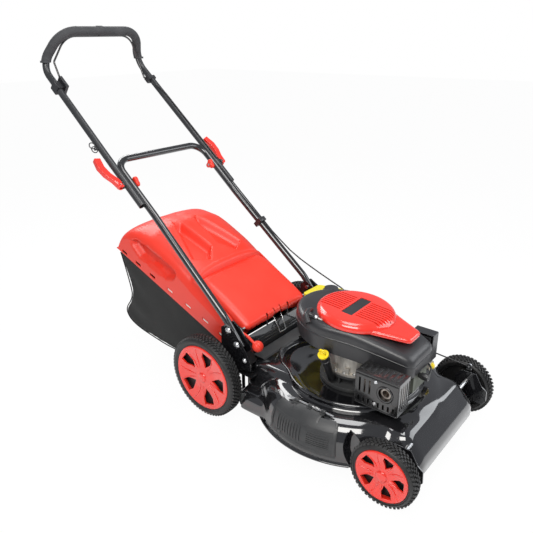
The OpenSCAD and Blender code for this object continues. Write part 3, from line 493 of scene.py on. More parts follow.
# Bolts: domed and zinc plated, each with a washer under its head.
zinc = finish("zinc_plate", (0.56, 0.57, 0.58), (0.4, 0.38, 0.34), 0.5, 0.3, 0.15, 300, 0.02, metal=1.0,
        scale=60)
dress("deck_bolts", zinc, 0.6)
for hand, word in hands:
    for k, (x, z, radius) in enumerate(((102, 276, 9), (67, 317, 9), (135, 230, 6))):
        paint(lathe("bracket_bolt_%s_%d" % (word, k),
                [(radius + 2.5, 0), (radius + 2.5, 1.2), (radius, 1.4), (radius, 2.8), (radius * 0.8, 5),
                 (radius * 0.45, 6.4), (0, 6.8)], at(x, hand * 236, z), (0, hand, 0), "deck", 32), zinc)

# Side cover: a dark moulded flap over the side outlet, ribbed for stiffness, hung on a plated rod
# with a coiled spring that snaps it shut.
cover_skin = finish("cover_plastic", (0.022, 0.023, 0.024), (0.07, 0.07, 0.07), 0.35, 0.42, 0.14, 1100,
        0.06)


def on_skirt(angle, z, out):
    """A point on the chamber's side: angle round the crankshaft, height, and distance proud."""
    bend_z, bend_r, flat_r = 108, 70, 240
    if z > bend_z:
        t = math.asin(min(1, (z - bend_z) / bend_r))
        reach = flat_r + (bend_r + out) * math.cos(t)
        z = bend_z + (bend_r + out) * math.sin(t)
    else:
        reach = flat_r + bend_r + out
    a = math.radians(angle)
    return at(crank_x + reach * math.cos(a), reach * math.sin(a), z)


def skirt_pad(name, a0, a1, z0, z1, out0, out1, round_mm=2.0, cols=14, rows=9):
    """A slab of the side cover, lying on the chamber between two angles and two heights."""
    loops = []
    for j in range(cols + 1):
        a = a0 + (a1 - a0) * j / cols
        outer = [on_skirt(a, z0 + (z1 - z0) * i / rows, out1) for i in range(rows + 1)]
        inner = [on_skirt(a, z1 - (z1 - z0) * i / rows, out0) for i in range(rows + 1)]
        loops.append(outer + inner)
    pad = rings(name, loops, "side_cover", cap=True)
    paint(soften(pad, round_mm, 40, 3), cover_skin)


skirt_pad("cover_panel", 248, 292, 80, 178, -3, 2.6, 1.6)
skirt_pad("cover_top_step", 249.5, 290.5, 150, 172, 2, 5.5)
skirt_pad("cover_bar", 249, 291, 82, 92, 2, 6)
skirt_pad("cover_left_rail", 248.4, 250, 84, 170, 2, 5, 1)
skirt_pad("cover_right_rail", 290, 291.6, 84, 170, 2, 5, 1)
for k in range(9):
    a = 254 + 2.0 * k
    skirt_pad("cover_rib_%d" % k, a, a + 0.8, 98, 144, 2, 4.8, 0.8, 2, 6)
for k in range(8):
    z = 98 + 6 * k
    skirt_pad("cover_line_%d" % k, 275, 288, z, z + 2.6, 2, 4.2, 0.6, 6, 1)
boss_at = on_skirt(256, 88, 2)
paint(lathe("cover_boss", [(0, 0), (11, 0), (11, 4), (9, 5.5), (6, 4), (0, 4)], boss_at,
        (math.cos(math.radians(256)), math.sin(math.radians(256)), 0), "side_cover", 40), cover_skin)
dress("discharge_cover", cover_skin, 0.6)
dress("hinge_rods", zinc)


def wire(name, points, radius, body, material):
    """A round wire or tube bent along a run of points, as a smooth mesh."""
    curve = bpy.data.curves.new(name, "CURVE")
    curve.dimensions = "3D"
    curve.bevel_depth = radius / 1000
    curve.bevel_resolution = 3
    curve.use_fill_caps = True
    line = curve.splines.new("POLY")
    line.points.add(len(points) - 1)
    for spot, p in zip(line.points, points):
        spot.co = (*p, 1)
    temp = placed(name + "_line", curve)
    mesh = bpy.data.meshes.new_from_object(temp)
    bpy.data.objects.remove(temp)
    obj = placed(name, mesh)
    smooth_all(mesh)
    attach(obj, body)
    return paint(obj, material)


def eased(corners, radius, steps=8):
    """The run of points along a bent line, with each inner corner rounded to radius millimetres."""
    line = [corners[0]]
    for before, corner, after in zip(corners, corners[1:], corners[2:]):
        way_in, way_out = (corner - before).normalized(), (after - corner).normalized()
        half = way_in.angle(way_out, 0) / 2
        reach = min(radius / 1000 * math.tan(half), 0.48 * (corner - before).length,
                0.48 * (after - corner).length)
        start, stop = corner - way_in * reach, corner + way_out * reach
        line += [start.lerp(corner, t).lerp(corner.lerp(stop, t), t)
                for t in [i / steps for i in range(steps + 1)]]
    return line + [corners[-1]]


for hand, word in hands:
    coil = []
    for i in range(97):
        a = 2 * math.pi * i / 16
        coil.append(at(72 + 6 * math.cos(a), hand * (4 + 3 * i / 16), 298 + 6 * math.sin(a)))
    coil += eased([at(78, hand * 22, 298), at(104, hand * 17, 246), at(106, hand * 17, 240)], 3)
    wire("flap_spring_" + word, coil, 1.5, "deck", zinc)
wire("flap_spring_bar", eased([at(106, -17, 240), at(110, -17, 232), at(110, 17, 232), at(106, 17, 240)],
        3), 1.5,
     "deck", zinc)
coil = [at(414 + 26 * i / 128, -250 + 4.8 * math.cos(2 * math.pi * i / 16),
        186 + 4.8 * math.sin(2 * math.pi * i / 16))
        for i in range(129)]
wire("cover_spring", coil, 1.1, "deck", zinc)
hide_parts("hinge_springs")

# ---- Height adjuster ----
# Bent steel cranks carry the wheels and turn together through a tie rod; the lever on the right
# drops into notches in the bracket and ends in a ribbed red knob.
satin = finish("satin_black", (0.014, 0.014, 0.015), (0.05, 0.05, 0.05), 0.25, 0.36, 0.12, 400, 0.03)
red = finish("red_moulding", (0.72, 0.032, 0.014), (0.6, 0.06, 0.035), 0.25, 0.4, 0.12, 800, 0.03,
        scale=9)
red_gloss = finish("red_gloss", (0.74, 0.024, 0.012), (0.62, 0.06, 0.04), 0.2, 0.2, 0.1, 200, 0.02,
        coat=0.5, scale=9)
dress("rear_axle", zinc, 0.8)
dress("front_axle", zinc, 0.8)
dress("height_link", satin)
wire("lever_arm", eased([at(40, -193, 225), at(50, -193, 262), at(76, -193, 300), at(112, -192, 292),
        at(140, -186, 268)],
     26), 5, "lever", red)
knob_profile = [(19 * math.sin(math.pi * i / 14), -19 * math.cos(math.pi * i / 14)) for i in range(15)]
knob_at, knob_way = at(148, -184, 264), Vector((0.75, 0, -0.66))
knob = lathe("lever_knob", knob_profile, knob_at, knob_way, "lever", 80)
for v in knob.data.vertices:
    off = v.co - knob_at
    along = off.dot(knob_way)
    side_way = off - knob_way * along
    turn_round = math.atan2(side_way.dot(Vector((0, 1, 0))), side_way.dot(Vector((0.66, 0, 0.75))))
    rib = 0.5 + 0.5 * math.cos(16 * turn_round)
    v.co -= side_way * (0.09 * rib if abs(along) < 0.0165 else 0)
paint(knob, red)
paint(lathe("lever_hub", [(0, -7), (10, -7), (11.5, -5.5), (11.5, 5.5), (10, 7), (0, 7)],
        at(40, -193, 225), (0, 1, 0), "lever"), red)
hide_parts("height_lever")

# ---- Wheels ----
# Black moulded wheels with a solid knobbly tread, each closed by a dished red cap with five
# kite-shaped windows and raised lines along its spokes.
tyre_skin = finish("tyre_rubber", (0.007, 0.007, 0.0072), (0.022, 0.021, 0.020), 0.5, 0.5, 0.14, 600,
        0.12, scale=20)
for corner, side_of, radius, wide, rim_mm, blocks in (
        ("rear_right", -1, rear_z, 50, 115, 66), ("rear_left", 1, rear_z, 50, 115, 66),
        ("front_right", -1, front_z, 42, 79, 46), ("front_left", 1, front_z, 42, 79, 46)):
    body = "wheel_" + corner
    low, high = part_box("tyre_" + corner)
    middle = (low + high) / 2
    out = Vector((0, side_of, 0))
    h = wide / 2
    section = [(6.2, -h), (19, -h), (20, h - 27), (rim_mm - 9, h - 27), (rim_mm - 6, -h + 4),
            (rim_mm - 3, -h + 2),
               (rim_mm + 5, -h + 1.5), (radius - 15, -h + 0.5), (radius - 9, -h + 3),
               (radius - 5.4, -h + 9),
               (radius - 4.2, -h + 16), (radius - 4.2, h - 16), (radius - 5.4, h - 9),
               (radius - 9, h - 3),
               (radius - 15, h - 0.5), (rim_mm + 8, h - 1.2), (rim_mm + 6, h - 2.4),
               (rim_mm + 4, h - 1.4),
               (rim_mm + 1.5, h - 2.5), (rim_mm, h - 4), (rim_mm - 0.2, h - 19), (rim_mm - 9, h - 21),
               (19, h - 21),
               (19, h - 19), (6.2, h - 19), (6.2, -h)]
    tyre = lathe("tyre_body_" + corner, section, middle, out, body, 96)
    soften(tyre, 0.8, 40)
    paint(tyre, tyre_skin)
    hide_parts("tyre_" + corner)
    points, faces = [], []
    first = out.orthogonal().normalized()
    second = out.cross(first)
    rows = [(-0.74, 0.3), (-0.38, 0.0), (0.0, 0.5), (0.38, 0.0), (0.74, 0.3)]
    for i in range(blocks):
        for row, (across_at, shift) in enumerate(rows):
            a = 2 * math.pi * (i + shift) / blocks
            span = 2 * math.pi / blocks * 0.33
            lean = 0.10 * across_at
            c = across_at * (h - 3)
            half_wide = h * 0.155
            sink = 2.6 * abs(across_at) ** 3
            base = len(points)
            for lift, pull in ((-6.0, 1.0), (-1.0, 0.84), (-0.1, 0.6)):
                for da, dc in ((-1, -1), (1, -1), (1, 1), (-1, 1)):
                    b = a + da * span * pull + lean * 0.2 * dc
                    r = radius + lift - sink
                    points.append(middle + (first * math.cos(b) + second * math.sin(b)) * (r / 1000)
                                  + out * ((c + dc * half_wide * pull) / 1000))
            for level in (0, 4):
                for k in range(4):
                    m = (k + 1) % 4
                    faces.append((base + level + k, base + level + m, base + level + 4 + m,
                            base + level + 4 + k))
            faces.append((base + 8, base + 9, base + 10, base + 11))
    tread = solid("tread_" + corner, points, faces, body, False)
    paint(tread, tyre_skin)
    dress("rim_" + corner, red_gloss, 1.1, 30)
    for k in range(5):
        a0 = math.radians(72 * k + 36)
        for hand in (-1, 1):
            line = []
            for step in range(9):
                t = step / 8
                r = rim_mm * (0.30 + 0.60 * t)
                b = a0 + hand * math.radians(9.5 - 3.5 * t + 9 * t * t)
                fall = -7.4 + 6.2 * max(0, (r / rim_mm - 0.5) / 0.42)
                spoke = first * math.cos(b) + second * math.sin(b)
                line.append(middle + spoke * (r / 1000) + out * ((h + fall) / 1000))
            wire("spoke_line_%s_%d_%s" % (corner, k, "a" if hand < 0 else "b"), line, 1.7, body,
                 red_gloss)
    paint(lathe("hub_cap_" + corner, [(17, h - 6), (16, h - 2.5), (13.5, h - 0.6), (8, h), (0, h)],
            middle, out, body, 48), red_gloss)

# ---- Engine ----
# A single upright petrol engine: cast crankcase and finned block standing on a round base, with a
# moulded blower housing and a vented red cover over the recoil starter.
cast = finish("cast_alloy", (0.56, 0.53, 0.48), (0.26, 0.24, 0.21), 0.6, 0.5, 0.2, 420, 0.25, metal=0.75,
        scale=26)
for node, edge in (("crankcase", 0.9), ("carburettor", 0.7), ("flywheel", 0.5)):
    dress(node, cast, edge)
pan = finish("painted_pan", (0.035, 0.036, 0.037), (0.07, 0.07, 0.068), 0.5, 0.6, 0.12, 380, 0.15,
        scale=26)
dress("sump", pan, 0.9)
fins = finish("painted_fins", (0.19, 0.205, 0.17), (0.08, 0.08, 0.07), 0.6, 0.55, 0.15, 420, 0.2,
        metal=0.6, scale=26)
dress("cylinder_head", fins, 0.6)
for k in range(8):
    a = math.radians(200 + 20 * k)
    paint(lathe("sump_screw_%d" % k, [(6.5, 0), (6.5, 3.5), (5.8, 4.2), (3.4, 4.4), (3.2, 2.6), (0, 2.6)],
            at(405 + 91 * math.cos(a), 91 * math.sin(a), 224), (0, 0, 1), "deck", 24), zinc)
plastic = finish("shroud_plastic", (0.017, 0.017, 0.019), (0.06, 0.06, 0.062), 0.3, 0.34, 0.14, 900, 0.05,
        scale=10)


def body_outline(centre, radius, tip_x, tip_half, tip_round, steps=96):
    """The hull of a round and a narrow front end with rounded corners, as seen from above."""
    cloud = set()
    for i in range(180):
        a = 2 * math.pi * i / 180
        cloud.add((round(centre + radius * math.cos(a), 5), round(radius * math.sin(a), 5)))
        for hand in (-1, 1):
            cloud.add((round(tip_x - tip_round + tip_round * math.cos(a), 5),
                       round(hand * (tip_half - tip_round) + tip_round * math.sin(a), 5)))
    cloud = sorted(cloud)

    def half(points):
        line = []
        for p in points:
            while len(line) > 1 and ((line[-1][0] - line[-2][0]) * (p[1] - line[-2][1])
                                     - (line[-1][1] - line[-2][1]) * (p[0] - line[-2][0])) <= 0:
                line.pop()
            line.append(p)
        return line
    hull = half(cloud)[:-1] + half(cloud[::-1])[:-1]
    far = min(range(len(hull)), key=lambda i: hull[i][0])
    hull = hull[far:] + hull[:far]
    lengths = [0]
    for p, q in zip(hull, hull[1:] + hull[:1]):
        lengths.append(lengths[-1] + math.hypot(q[0] - p[0], q[1] - p[1]))
    even, j = [], 0
    for i in range(steps):
        want = lengths[-1] * i / steps
        while lengths[j + 1] < want:
            j += 1
        p, q = hull[j], hull[(j + 1) % len(hull)]
        t = (want - lengths[j]) / max(1e-9, lengths[j + 1] - lengths[j])
        even.append((p[0] + (q[0] - p[0]) * t, p[1] + (q[1] - p[1]) * t))
    return even


def stacked(name, centre, levels, low, high, body=None, cap=True):
    """A housing built of outlines, each at a share of the height between its lower and upper surface."""
    loops = [[at(x, y, low(x) + share * (high(x) - low(x))) for x, y in body_outline(centre, *outline)]
             for *outline, share in levels]
    return rings(name, loops, body, cap=cap)


def shroud_top(x):
    """The housing's upper surface: a slight slope that falls away toward the front."""
    fall = max(0, x - 440)
    return 405 - 0.07 * (x - 202) - 0.24 * fall * fall / (fall + 40)


shroud = stacked("blower_housing", 345, [
    (136, 632, 76, 24, 0), (139, 634, 78, 24, 0.03), (141, 634, 78, 24, 0.3), (142.6, 634, 78, 24, 0.62),
    (143, 633, 78, 24, 0.76), (142, 631, 76, 24, 0.85), (139, 628, 73, 22, 0.92),
    (134, 622, 69, 20, 0.97),
    (127, 614, 64, 18, 1.0), (112, 596, 52, 16, 1.0), (80, 540, 34, 12, 1.0), (8, 350, 6, 4, 1.0)],
    lambda x: 324 - 0.114 * (x - 202), shroud_top, None, False)
settle(modify(shroud, "wall", "SOLIDIFY", thickness=0.0026, offset=-1))
carve(shroud, post("neck_hole", at(232, 114, 200), at(232, 114, 450), 34, 48))
soften(shroud, 0.7, 34)
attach(shroud, "deck")
paint(shroud, plastic)
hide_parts("blower_shroud")
band = stacked("housing_band", 345, [
    (142.4, 634, 78, 24, 0.56), (144.6, 635.4, 79.6, 25, 0.575), (144.6, 635.4, 79.6, 25, 0.605),
    (142.4, 634, 78, 24, 0.62)], lambda x: 324 - 0.114 * (x - 202), shroud_top, "deck", False)
paint(band, plastic)


# Starter cover: glossy red, a flat-topped round with a tapered nose, slotted so that the fan can
# draw air, with a dark strip set across the middle.
def cover_low(x):
    return 390 - 0.0875 * (x - 400)


def cover_top(x):
    return 415.5 - 0.07 * (x - 400)


cover = stacked("starter_cover", 400, [
    (122, 528, 30, 15, 0), (124, 528, 30, 15, 0.05), (124, 528, 30, 15, 0.3), (123.4, 527, 29, 15, 0.46),
    (121, 523, 27, 15, 0.62), (116.5, 515, 24, 15, 0.78), (112, 508, 22, 15, 0.89),
    (107, 502, 20, 15, 0.97),
    (101, 496, 20, 15, 1.0)], cover_low, cover_top)
beak = stacked("cover_beak", 430, [
    (94, 602, 38, 15, 0), (96, 604, 40, 16, 0.08), (96, 604, 40, 16, 0.6), (94, 602, 38, 15, 0.84),
    (89, 597, 34, 13, 0.97), (80, 588, 28, 10, 1.0)],
    lambda x: 388 - 0.123 * (x - 430), lambda x: 401 - 0.123 * (x - 430))
combine(cover, [beak], "UNION")


def sunk(name, x0, x1, y0, y1, depth):
    """A cutter whose floor runs parallel to the cover's top, depth millimetres below it."""
    points = [at(x, y, z) for x in (x0, x1) for y in (y0, y1) for z in (cover_top(x) - depth, 450)]
    return solid(name, points, box_faces, None, False)


tools = [sunk("strip", 381, 419, -62, 62, 4)]
for k in range(-4, 5):
    y = 12.4 * k
    reach = math.sqrt(112 ** 2 - y * y)
    tools.append(sunk("slot", 400 - reach, 373, y - 2.5, y + 2.5, 8))
    tools.append(sunk("slot", 426, 400 + reach + 14, y - 2.5, y + 2.5, 8))
carve(cover, *tools)
soften(cover, 0.8, 40, 2)
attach(cover, "deck")
paint(cover, red_gloss)
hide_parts("top_cover")
strip = solid("cover_strip", [at(x, y, z) for x in (382, 418) for y in (-61, 61)
        for z in (cover_top(x) - 5, cover_top(x) - 0.8)],
              box_faces, "deck", False)
paint(soften(strip, 1.2), plastic)
# Painted shade: a flat dark matt sheet laid just above the bottom of each row of slots, standing in for
# the shade inside the openings.
for side_x0, side_x1 in ((306, 377), (425, 500)):
    slot_shade_sheet = solid("painted_slot_shade_%d" % side_x0,
            [at(x, y, cover_top(x) - 7.4) for x in (side_x0, side_x1) for y in (-54, 54)],
                        [(0, 1, 3, 2)], "deck", False)
    paint(slot_shade_sheet, shelf)

# Starter grip: a black moulded pull with a curved top, a plated ferrule, and the white rope.
rope_way = Vector((200, 62, -66)).normalized()
mouth = at(322, -118, 402)
pull_line = eased([mouth - rope_way * 0.022 + Vector((-0.012, 0.034, -0.004)),
        mouth - rope_way * 0.026 + Vector((-0.003, 0.014, 0.002)),
                   mouth - rope_way * 0.024 + Vector((0.004, -0.014, 0.001)),
                   mouth - rope_way * 0.012 + Vector((0.012, -0.030, -0.012))], 18)
grip = wire("starter_pull", pull_line, 8.5, "starter", plastic)
paint(lathe("starter_neck", [(0, -24), (8, -24), (8.5, -14), (7, -4), (5.5, 3), (0, 3)], mouth, rope_way,
        "starter", 32), plastic)
paint(lathe("starter_ferrule", [(4.7, 1), (6, 1), (6.6, 3), (6.6, 9), (6, 11), (4.7, 11)], mouth,
        rope_way, "starter", 32), zinc)
rope_skin = finish("braided_rope", (0.62, 0.60, 0.55), (0.3, 0.29, 0.27), 0.4, 0.85, 0.1, 2600, 0.3)
wire("starter_rope", [mouth, mouth + rope_way * 0.21], 2.4, "starter", rope_skin)
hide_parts("starter_grip")

# Fuel tank and cap: a yellow moulded tank behind the housing, with a black ribbed cap.
tank_skin = finish("tank_plastic", (0.66, 0.56, 0.02), (0.5, 0.42, 0.03), 0.35, 0.28, 0.1, 500, 0.02,
        scale=16)
dress("fuel_tank", tank_skin, 3.0, 40)
dress("fuel_cap", plastic, 1.2)
cap_low, cap_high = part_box("fuel_cap")
cap_mid = (cap_low + cap_high) / 2
for k in range(20):
    rib = block("cap_rib_%d" % k, Vector((0.0265, -0.0018, -0.006)), Vector((0.0290, 0.0018, 0.0065)))
    rib.data.transform(Matrix.Translation(cap_mid) @ Matrix.Rotation(2 * math.pi * k / 20, 4, "Z"))
    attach(rib, "cap")
    paint(soften(rib, 0.8), plastic)

# Oil filler tube and the yellow dipstick with its ring.
yellow = finish("yellow_plastic", (0.83, 0.62, 0.012), (0.6, 0.45, 0.03), 0.3, 0.3, 0.1, 500, 0.02,
        scale=30)
dress("oil_filler", plastic, 0.5)
dress("dipstick", yellow, 0.6)
dip_foot, dip_end = at(385, -105, 200), at(384, -155, 305)
dip_way = (dip_end - dip_foot).normalized()
for k, (h, radius) in enumerate(((0.092, 15.5), (0.108, 14.6))):
    paint(lathe("filler_collar_%d" % k, [(12.9, -2.5), (radius, -2), (radius, 2), (12.9, 2.5)],
            dip_foot + dip_way * h, dip_way, "deck", 36), plastic)

# Silencer in its black punched guard, with a double rail along the top and a round outlet.
scorched = finish("scorched_steel", (0.33, 0.30, 0.27), (0.18, 0.12, 0.09), 0.7, 0.42, 0.2, 300, 0.06,
        metal=1.0, scale=30)
dress("muffler", scorched, 1.5)
guard_skin = finish("guard_enamel", (0.005, 0.005, 0.0055), (0.03, 0.028, 0.026), 0.3, 0.2, 0.12, 300,
        0.03, coat=0.6, scale=20)
dress("muffler_guard", guard_skin, 1.0)
for k, (y, z, radius) in enumerate(((-173, 313.5, 2.2), (-174.6, 305.5, 2.0), (-174, 209, 2.0))):
    wire("guard_rail_%d" % k, eased([at(510, y + 3, z), at(511, y, z), at(643, y, z), at(645, y + 3, z)],
            4), radius, "deck",
         guard_skin)
for k, x in enumerate((509, 645)):
    wire("guard_edge_%d" % k, [at(x, -173, 210), at(x, -173, 312)], 1.8, "deck", guard_skin)
paint(lathe("guard_outlet_ring", [(20, 0), (26, 0), (26, 1.6), (23, 2.6), (20, 1.6)], at(604, -174, 268),
        (0, -1, 0), "deck", 48), guard_skin)
for k in range(8):
    tab = block("guard_louvre_%d" % k, at(516 + 16 * k, -156, 312.5), at(522 + 16 * k, -114, 314))
    spot = Matrix.Translation(at(519 + 16 * k, 0, 313))
    tab.data.transform(spot @ Matrix.Rotation(0.4, 4, "Y") @ spot.inverted())
    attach(tab, "deck")
    paint(soften(tab, 0.5), guard_skin)
for k, z in enumerate((226, 298)):
    paint(lathe("guard_screw_%d" % k, [(6, 0), (6, 2), (5, 4), (3, 4.4), (0, 4.4)], at(574, -174, z),
            (0, -1, 0), "deck", 24), zinc)

# Air filter box, primer bulb, plug with its lead, and the turning parts below.
dress("air_filter", plastic, 2.0)
dress("primer_bulb", yellow)
boot = finish("plug_boot", (0.016, 0.016, 0.017), (0.05, 0.05, 0.05), 0.3, 0.32, 0.1, 400, 0.03)
dress("spark_plug", boot, 0.6)
wire("plug_lead", eased([at(652, -10, 262), at(655, 8, 264), at(648, 34, 270), at(622, 56, 276),
        at(600, 60, 284)], 14), 3,
     "deck", boot)
steel = finish("ground_steel", (0.46, 0.46, 0.47), (0.2, 0.17, 0.14), 0.5, 0.32, 0.2, 260, 0.04,
        metal=1.0, scale=24)
for node in ("crankshaft", "blade_adapter", "blade", "blade_bolt"):
    dress(node, steel, 0.5)

# ---- Handle ----
# Two tubes bolted together on each side, black enamel below and satin above, with a foam sleeve on
# the hoop, the wire bail in front of it, and red quick-release levers at the fold.
tube_gloss = finish("tube_enamel", (0.010, 0.010, 0.011), (0.04, 0.04, 0.042), 0.25, 0.2, 0.1, 120, 0.02,
        coat=0.6, scale=14)
tube_satin = finish("tube_satin", (0.022, 0.023, 0.025), (0.06, 0.06, 0.062), 0.25, 0.34, 0.12, 300, 0.03,
        scale=14)
dress("handle_lower", tube_gloss)
dress("handle_upper", tube_satin)
foam = finish("foam_sleeve", (0.038, 0.039, 0.042), (0.075, 0.075, 0.078), 0.4, 0.8, 0.1, 1500, 0.25,
        scale=30)
dress("handle_grip", foam)
bar = at(-768.5, 0, 1222)
for k, (shift, lean, radius) in enumerate(((-12, 0.35, 19.4), (-4, 0.35, 18.6), (9, 0.35, 19.2))):
    paint(lathe("grip_step_%d" % k, [(16.4, -3.4), (radius - 0.8, -3.4), (radius, -2.6), (radius, 2.6),
            (radius - 0.8, 3.4), (16.4, 3.4)], bar + Vector((0, shift / 1000, 0)), (lean, 1, 0.2),
            "handle_top", 48), foam)
dress("cam_lever_right", red_gloss, 2.2, 30)
dress("cam_lever_left", red_gloss, 2.2, 30)
dress("fold_bolts", zinc, 0.4)
for hand, word in hands:
    spacer = lathe("cam_spacer_" + word, [(5, 0), (12.5, 0), (13, 1), (13, 5), (10, 6.4), (5, 6.4)],
            at(-402, hand * 240.2, 728),
                   (0, hand, 0), "handle_top", 40)
    spacer.data.transform(Matrix.Translation((0, -hand * 0.0005, 0)))
    paint(spacer, plastic)
    lobes = lathe("knob_lobes_" + word, [(4.6, 0), (15, 0), (16.4, 1.4), (16.4, 11), (14.5, 13.6),
            (8, 14.6), (4.6, 14.8)],
                  at(-402, hand * 193.6, 728), (0, -hand, 0), "knob_" + word, 72)
    hub_at = at(-402, 0, 728)
    for v in lobes.data.vertices:
        dx, dz = v.co.x - hub_at.x, v.co.z - hub_at.z
        r = math.hypot(dx, dz)
        if r > 0.006:
            grow = 1 + 0.22 * math.cos(3 * (math.atan2(dz, dx) - math.radians(90))) * min(1,
                    (r - 0.006) / 0.006)
            v.co.x, v.co.z = hub_at.x + dx * grow, hub_at.z + dz * grow
    paint(lobes, red)
    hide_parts("wing_knob_" + word)
dress("bail", tube_gloss)
dress("control_box", plastic, 3.0, 40)
dress("rope_guide", satin)
dress("cable_clip", plastic, 2.0, 40)
cable_skin = finish("cable_sheath", (0.012, 0.012, 0.013), (0.05, 0.05, 0.05), 0.3, 0.4, 0.1, 400, 0.02)
for node in ("brake_cable_upper", "brake_cable_lower"):
    dress(node, cable_skin)

# ---- Rear flap ----
# A crowned red moulding that closes the outlet when the bag is off; its front lip turns down over
# the hinge rod and is notched where the housing's ears pass.
slope = math.radians(28.6)
pin = at(72, 0, 298)


def on_flap(x, y, z):
    """A point given along the flap, across it, and above its hinge line."""
    return pin + Vector((x * math.cos(slope) + z * math.sin(slope), y,
            -x * math.sin(slope) + z * math.cos(slope))) / 1000


def flap_loop(x, inset, sink):
    """One arch across the flap: level in the middle, rounded down at both sides."""
    line = []
    half = 166 - inset
    top = 15.5 + 9.5 * math.sin(math.pi * min(1, max(0, (x + 236) / 260))) ** 0.6 - sink
    for i in range(41):
        t = -1 + i / 20
        y = half * math.sin(t * math.pi / 2)
        edge = max(0, abs(y) - (half - 26)) / 26
        fall = 24 * (1 - math.sqrt(max(0, 1 - edge * edge)))
        crown = 3.0 * (1 - (y / half) ** 2)
        line.append(on_flap(x, y, top + crown - 3 - fall))
    return [on_flap(x, -half, -7)] + line + [on_flap(x, half, -7)]


loops = []
for x, inset, sink in ((-240, 12, 17), (-239, 8, 9), (-234, 5, 3.6), (-226, 3, 0.8)):
    loops.append(flap_loop(x, inset, sink))
for k in range(12):
    loops.append(flap_loop(-212 + 200 * k / 11, 0, 0))
for k in range(11):
    a = math.radians(90 - 9.6 * k)
    arch = []
    for p in flap_loop(-2, 0, 0)[1:-1]:
        local = p - pin
        lift = local.x * math.sin(slope) + local.z * math.cos(slope)
        reach = lift * 1000
        arch.append(on_flap(-2 + min(17.5, reach) * math.cos(a), local.y * 1000, reach * math.sin(a)))
    loops.append([on_flap(-2, -166, -7)] + arch + [on_flap(-2, 166, -7)])
flap = rings("flap_panel", loops, None, closed=False)
settle(modify(flap, "wall", "SOLIDIFY", thickness=0.003, offset=-1))
notches = []
for y0, y1, x0, z1 in ((-147, -139, 6, 7.5), (-121, -113, 6, 7.5), (-95, -87, 6, 7.5),
        (-62, -54, 0.5, 24), (-20.6, -15.4, -5, 24),
                       (13.4, 18.6, -5, 24), (54, 62, 0.5, 24), (91, 99, 6, 7.5), (117, 125, 6, 7.5),
                       (143, 151, 6, 7.5)):
    notch = block("notch", Vector((x0 / 1000, y0 / 1000, -0.022)), Vector((0.04, y1 / 1000, z1 / 1000)))
    notch.data.transform(Matrix.Translation(pin) @ Matrix.Rotation(slope, 4, "Y"))
    notches.append(notch)
slot = block("notch", Vector((-0.024, -0.026, -0.022)), Vector((0.034, 0.026, 0.009)))
slot.data.transform(Matrix.Translation(pin) @ Matrix.Rotation(slope, 4, "Y"))
carve(flap, *notches, slot)
soften(flap, 0.9, 40)
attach(flap, "flap")
paint(flap, red)
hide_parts("rear_flap")
for k, y in enumerate((-145, -85, 85, 145)):
    paint(lathe("flap_knuckle_%d" % k, [(4.3, -5), (12, -5), (13, -4), (13, 4), (12, 5), (4.3, 5)],
            pin + Vector((0, y / 1000, 0)), (0, 1, 0), "flap", 40), red)

# ---- Grass bag ----
# A red moulded lid with a carrying ridge between two hand recesses, on a black woven bag held open
# by a wire frame. The bag hangs from the housing and slides back when the flap is up.

def curved(points, steps=8):
    """A smooth run through the points (Catmull-Rom), in two dimensions."""
    ends = [points[0]] + points + [points[-1]]
    line = []
    for i in range(1, len(ends) - 2):
        for k in range(steps):
            t = k / steps
            spot = []
            for j in (0, 1):
                p, q, r, s = (ends[i + n][j] for n in (-1, 0, 1, 2))
                spot.append(0.5 * (2 * q + (r - p) * t + (2 * p - 5 * q + 4 * r - s) * t * t
                                   + (3 * q - p - 3 * r + s) * t ** 3))
            line.append(tuple(spot))
    return line + [points[-1]]


def slab(name, outline, y0, y1):
    """A flat-sided core: an outline of (x, z) in millimetres, drawn out across the mower."""
    n = len(outline)
    points = [at(x, y, z) for y in (y0, y1) for x, z in outline]
    faces = [tuple(range(n)), tuple(range(2 * n - 1, n - 1, -1))]
    faces += [(i, n + i, n + (i + 1) % n, (i + 1) % n) for i in range(n)]
    return solid(name, points, faces, None, False)


def moulded(obj, voxel, rounds):
    """Melts a core into one skin and rounds its edges as a mould would."""
    settle(modify(obj, "skin", "REMESH", mode="VOXEL", voxel_size=voxel / 1000))
    return settle(modify(obj, "relax", "SMOOTH", factor=0.6, iterations=rounds))


rim_front, rim_back = Vector((22, 216)), Vector((-545, 452))
rim_way = (rim_back - rim_front).normalized()
rim_out = Vector((rim_way.y, -rim_way.x))
lid_top = curved([(48, 262), (47, 286), (40, 318), (20, 346), (-30, 376), (-134, 437), (-150, 447),
        (-180, 468), (-229, 497),
                  (-334, 546), (-385, 557), (-440, 558), (-486, 543), (-520, 514), (-540, 480),
                  (-545.5, 456)])[::-1]
shoulder = curved([(0, 0), (50, 0), (120, 8), (162, 21), (185, 39), (195.5, 66)])
rim_spot = at(rim_front.x, 0, rim_front.y)
plane_out = Vector((rim_out.x, 0, rim_out.y))


def read_off(line, x):
    """The height of a line of (x, height) points at x."""
    for (x0, z0), (x1, z1) in zip(line, line[1:]):
        if x <= x1:
            return z0 + (z1 - z0) * min(1, max(0, (x - x0) / max(1e-6, x1 - x0)))
    return line[-1][1]


def inside(corners, x, y):
    """How far a point lies inside a convex outline, in millimetres."""
    depth = 1e9
    for (x0, y0), (x1, y1) in zip(corners, corners[1:] + corners[:1]):
        depth = min(depth, ((x - x0) * (y1 - y0) - (y - y0) * (x1 - x0)) / math.hypot(x1 - x0, y1 - y0))
    return depth


def eased_step(t):
    """Runs from 0 to 1 with level ends."""
    t = min(1, max(0, t))
    return t * t * (3 - 2 * t)


def lid_low(x):
    """The lid's lower edge: along the rim, turned up in a round at the front."""
    line = rim_front.y + (x - rim_front.x) * rim_way.y / rim_way.x
    return line + 34 * (1 - math.sqrt(1 - min(1, max(0, (x - 14) / 34)) ** 2))


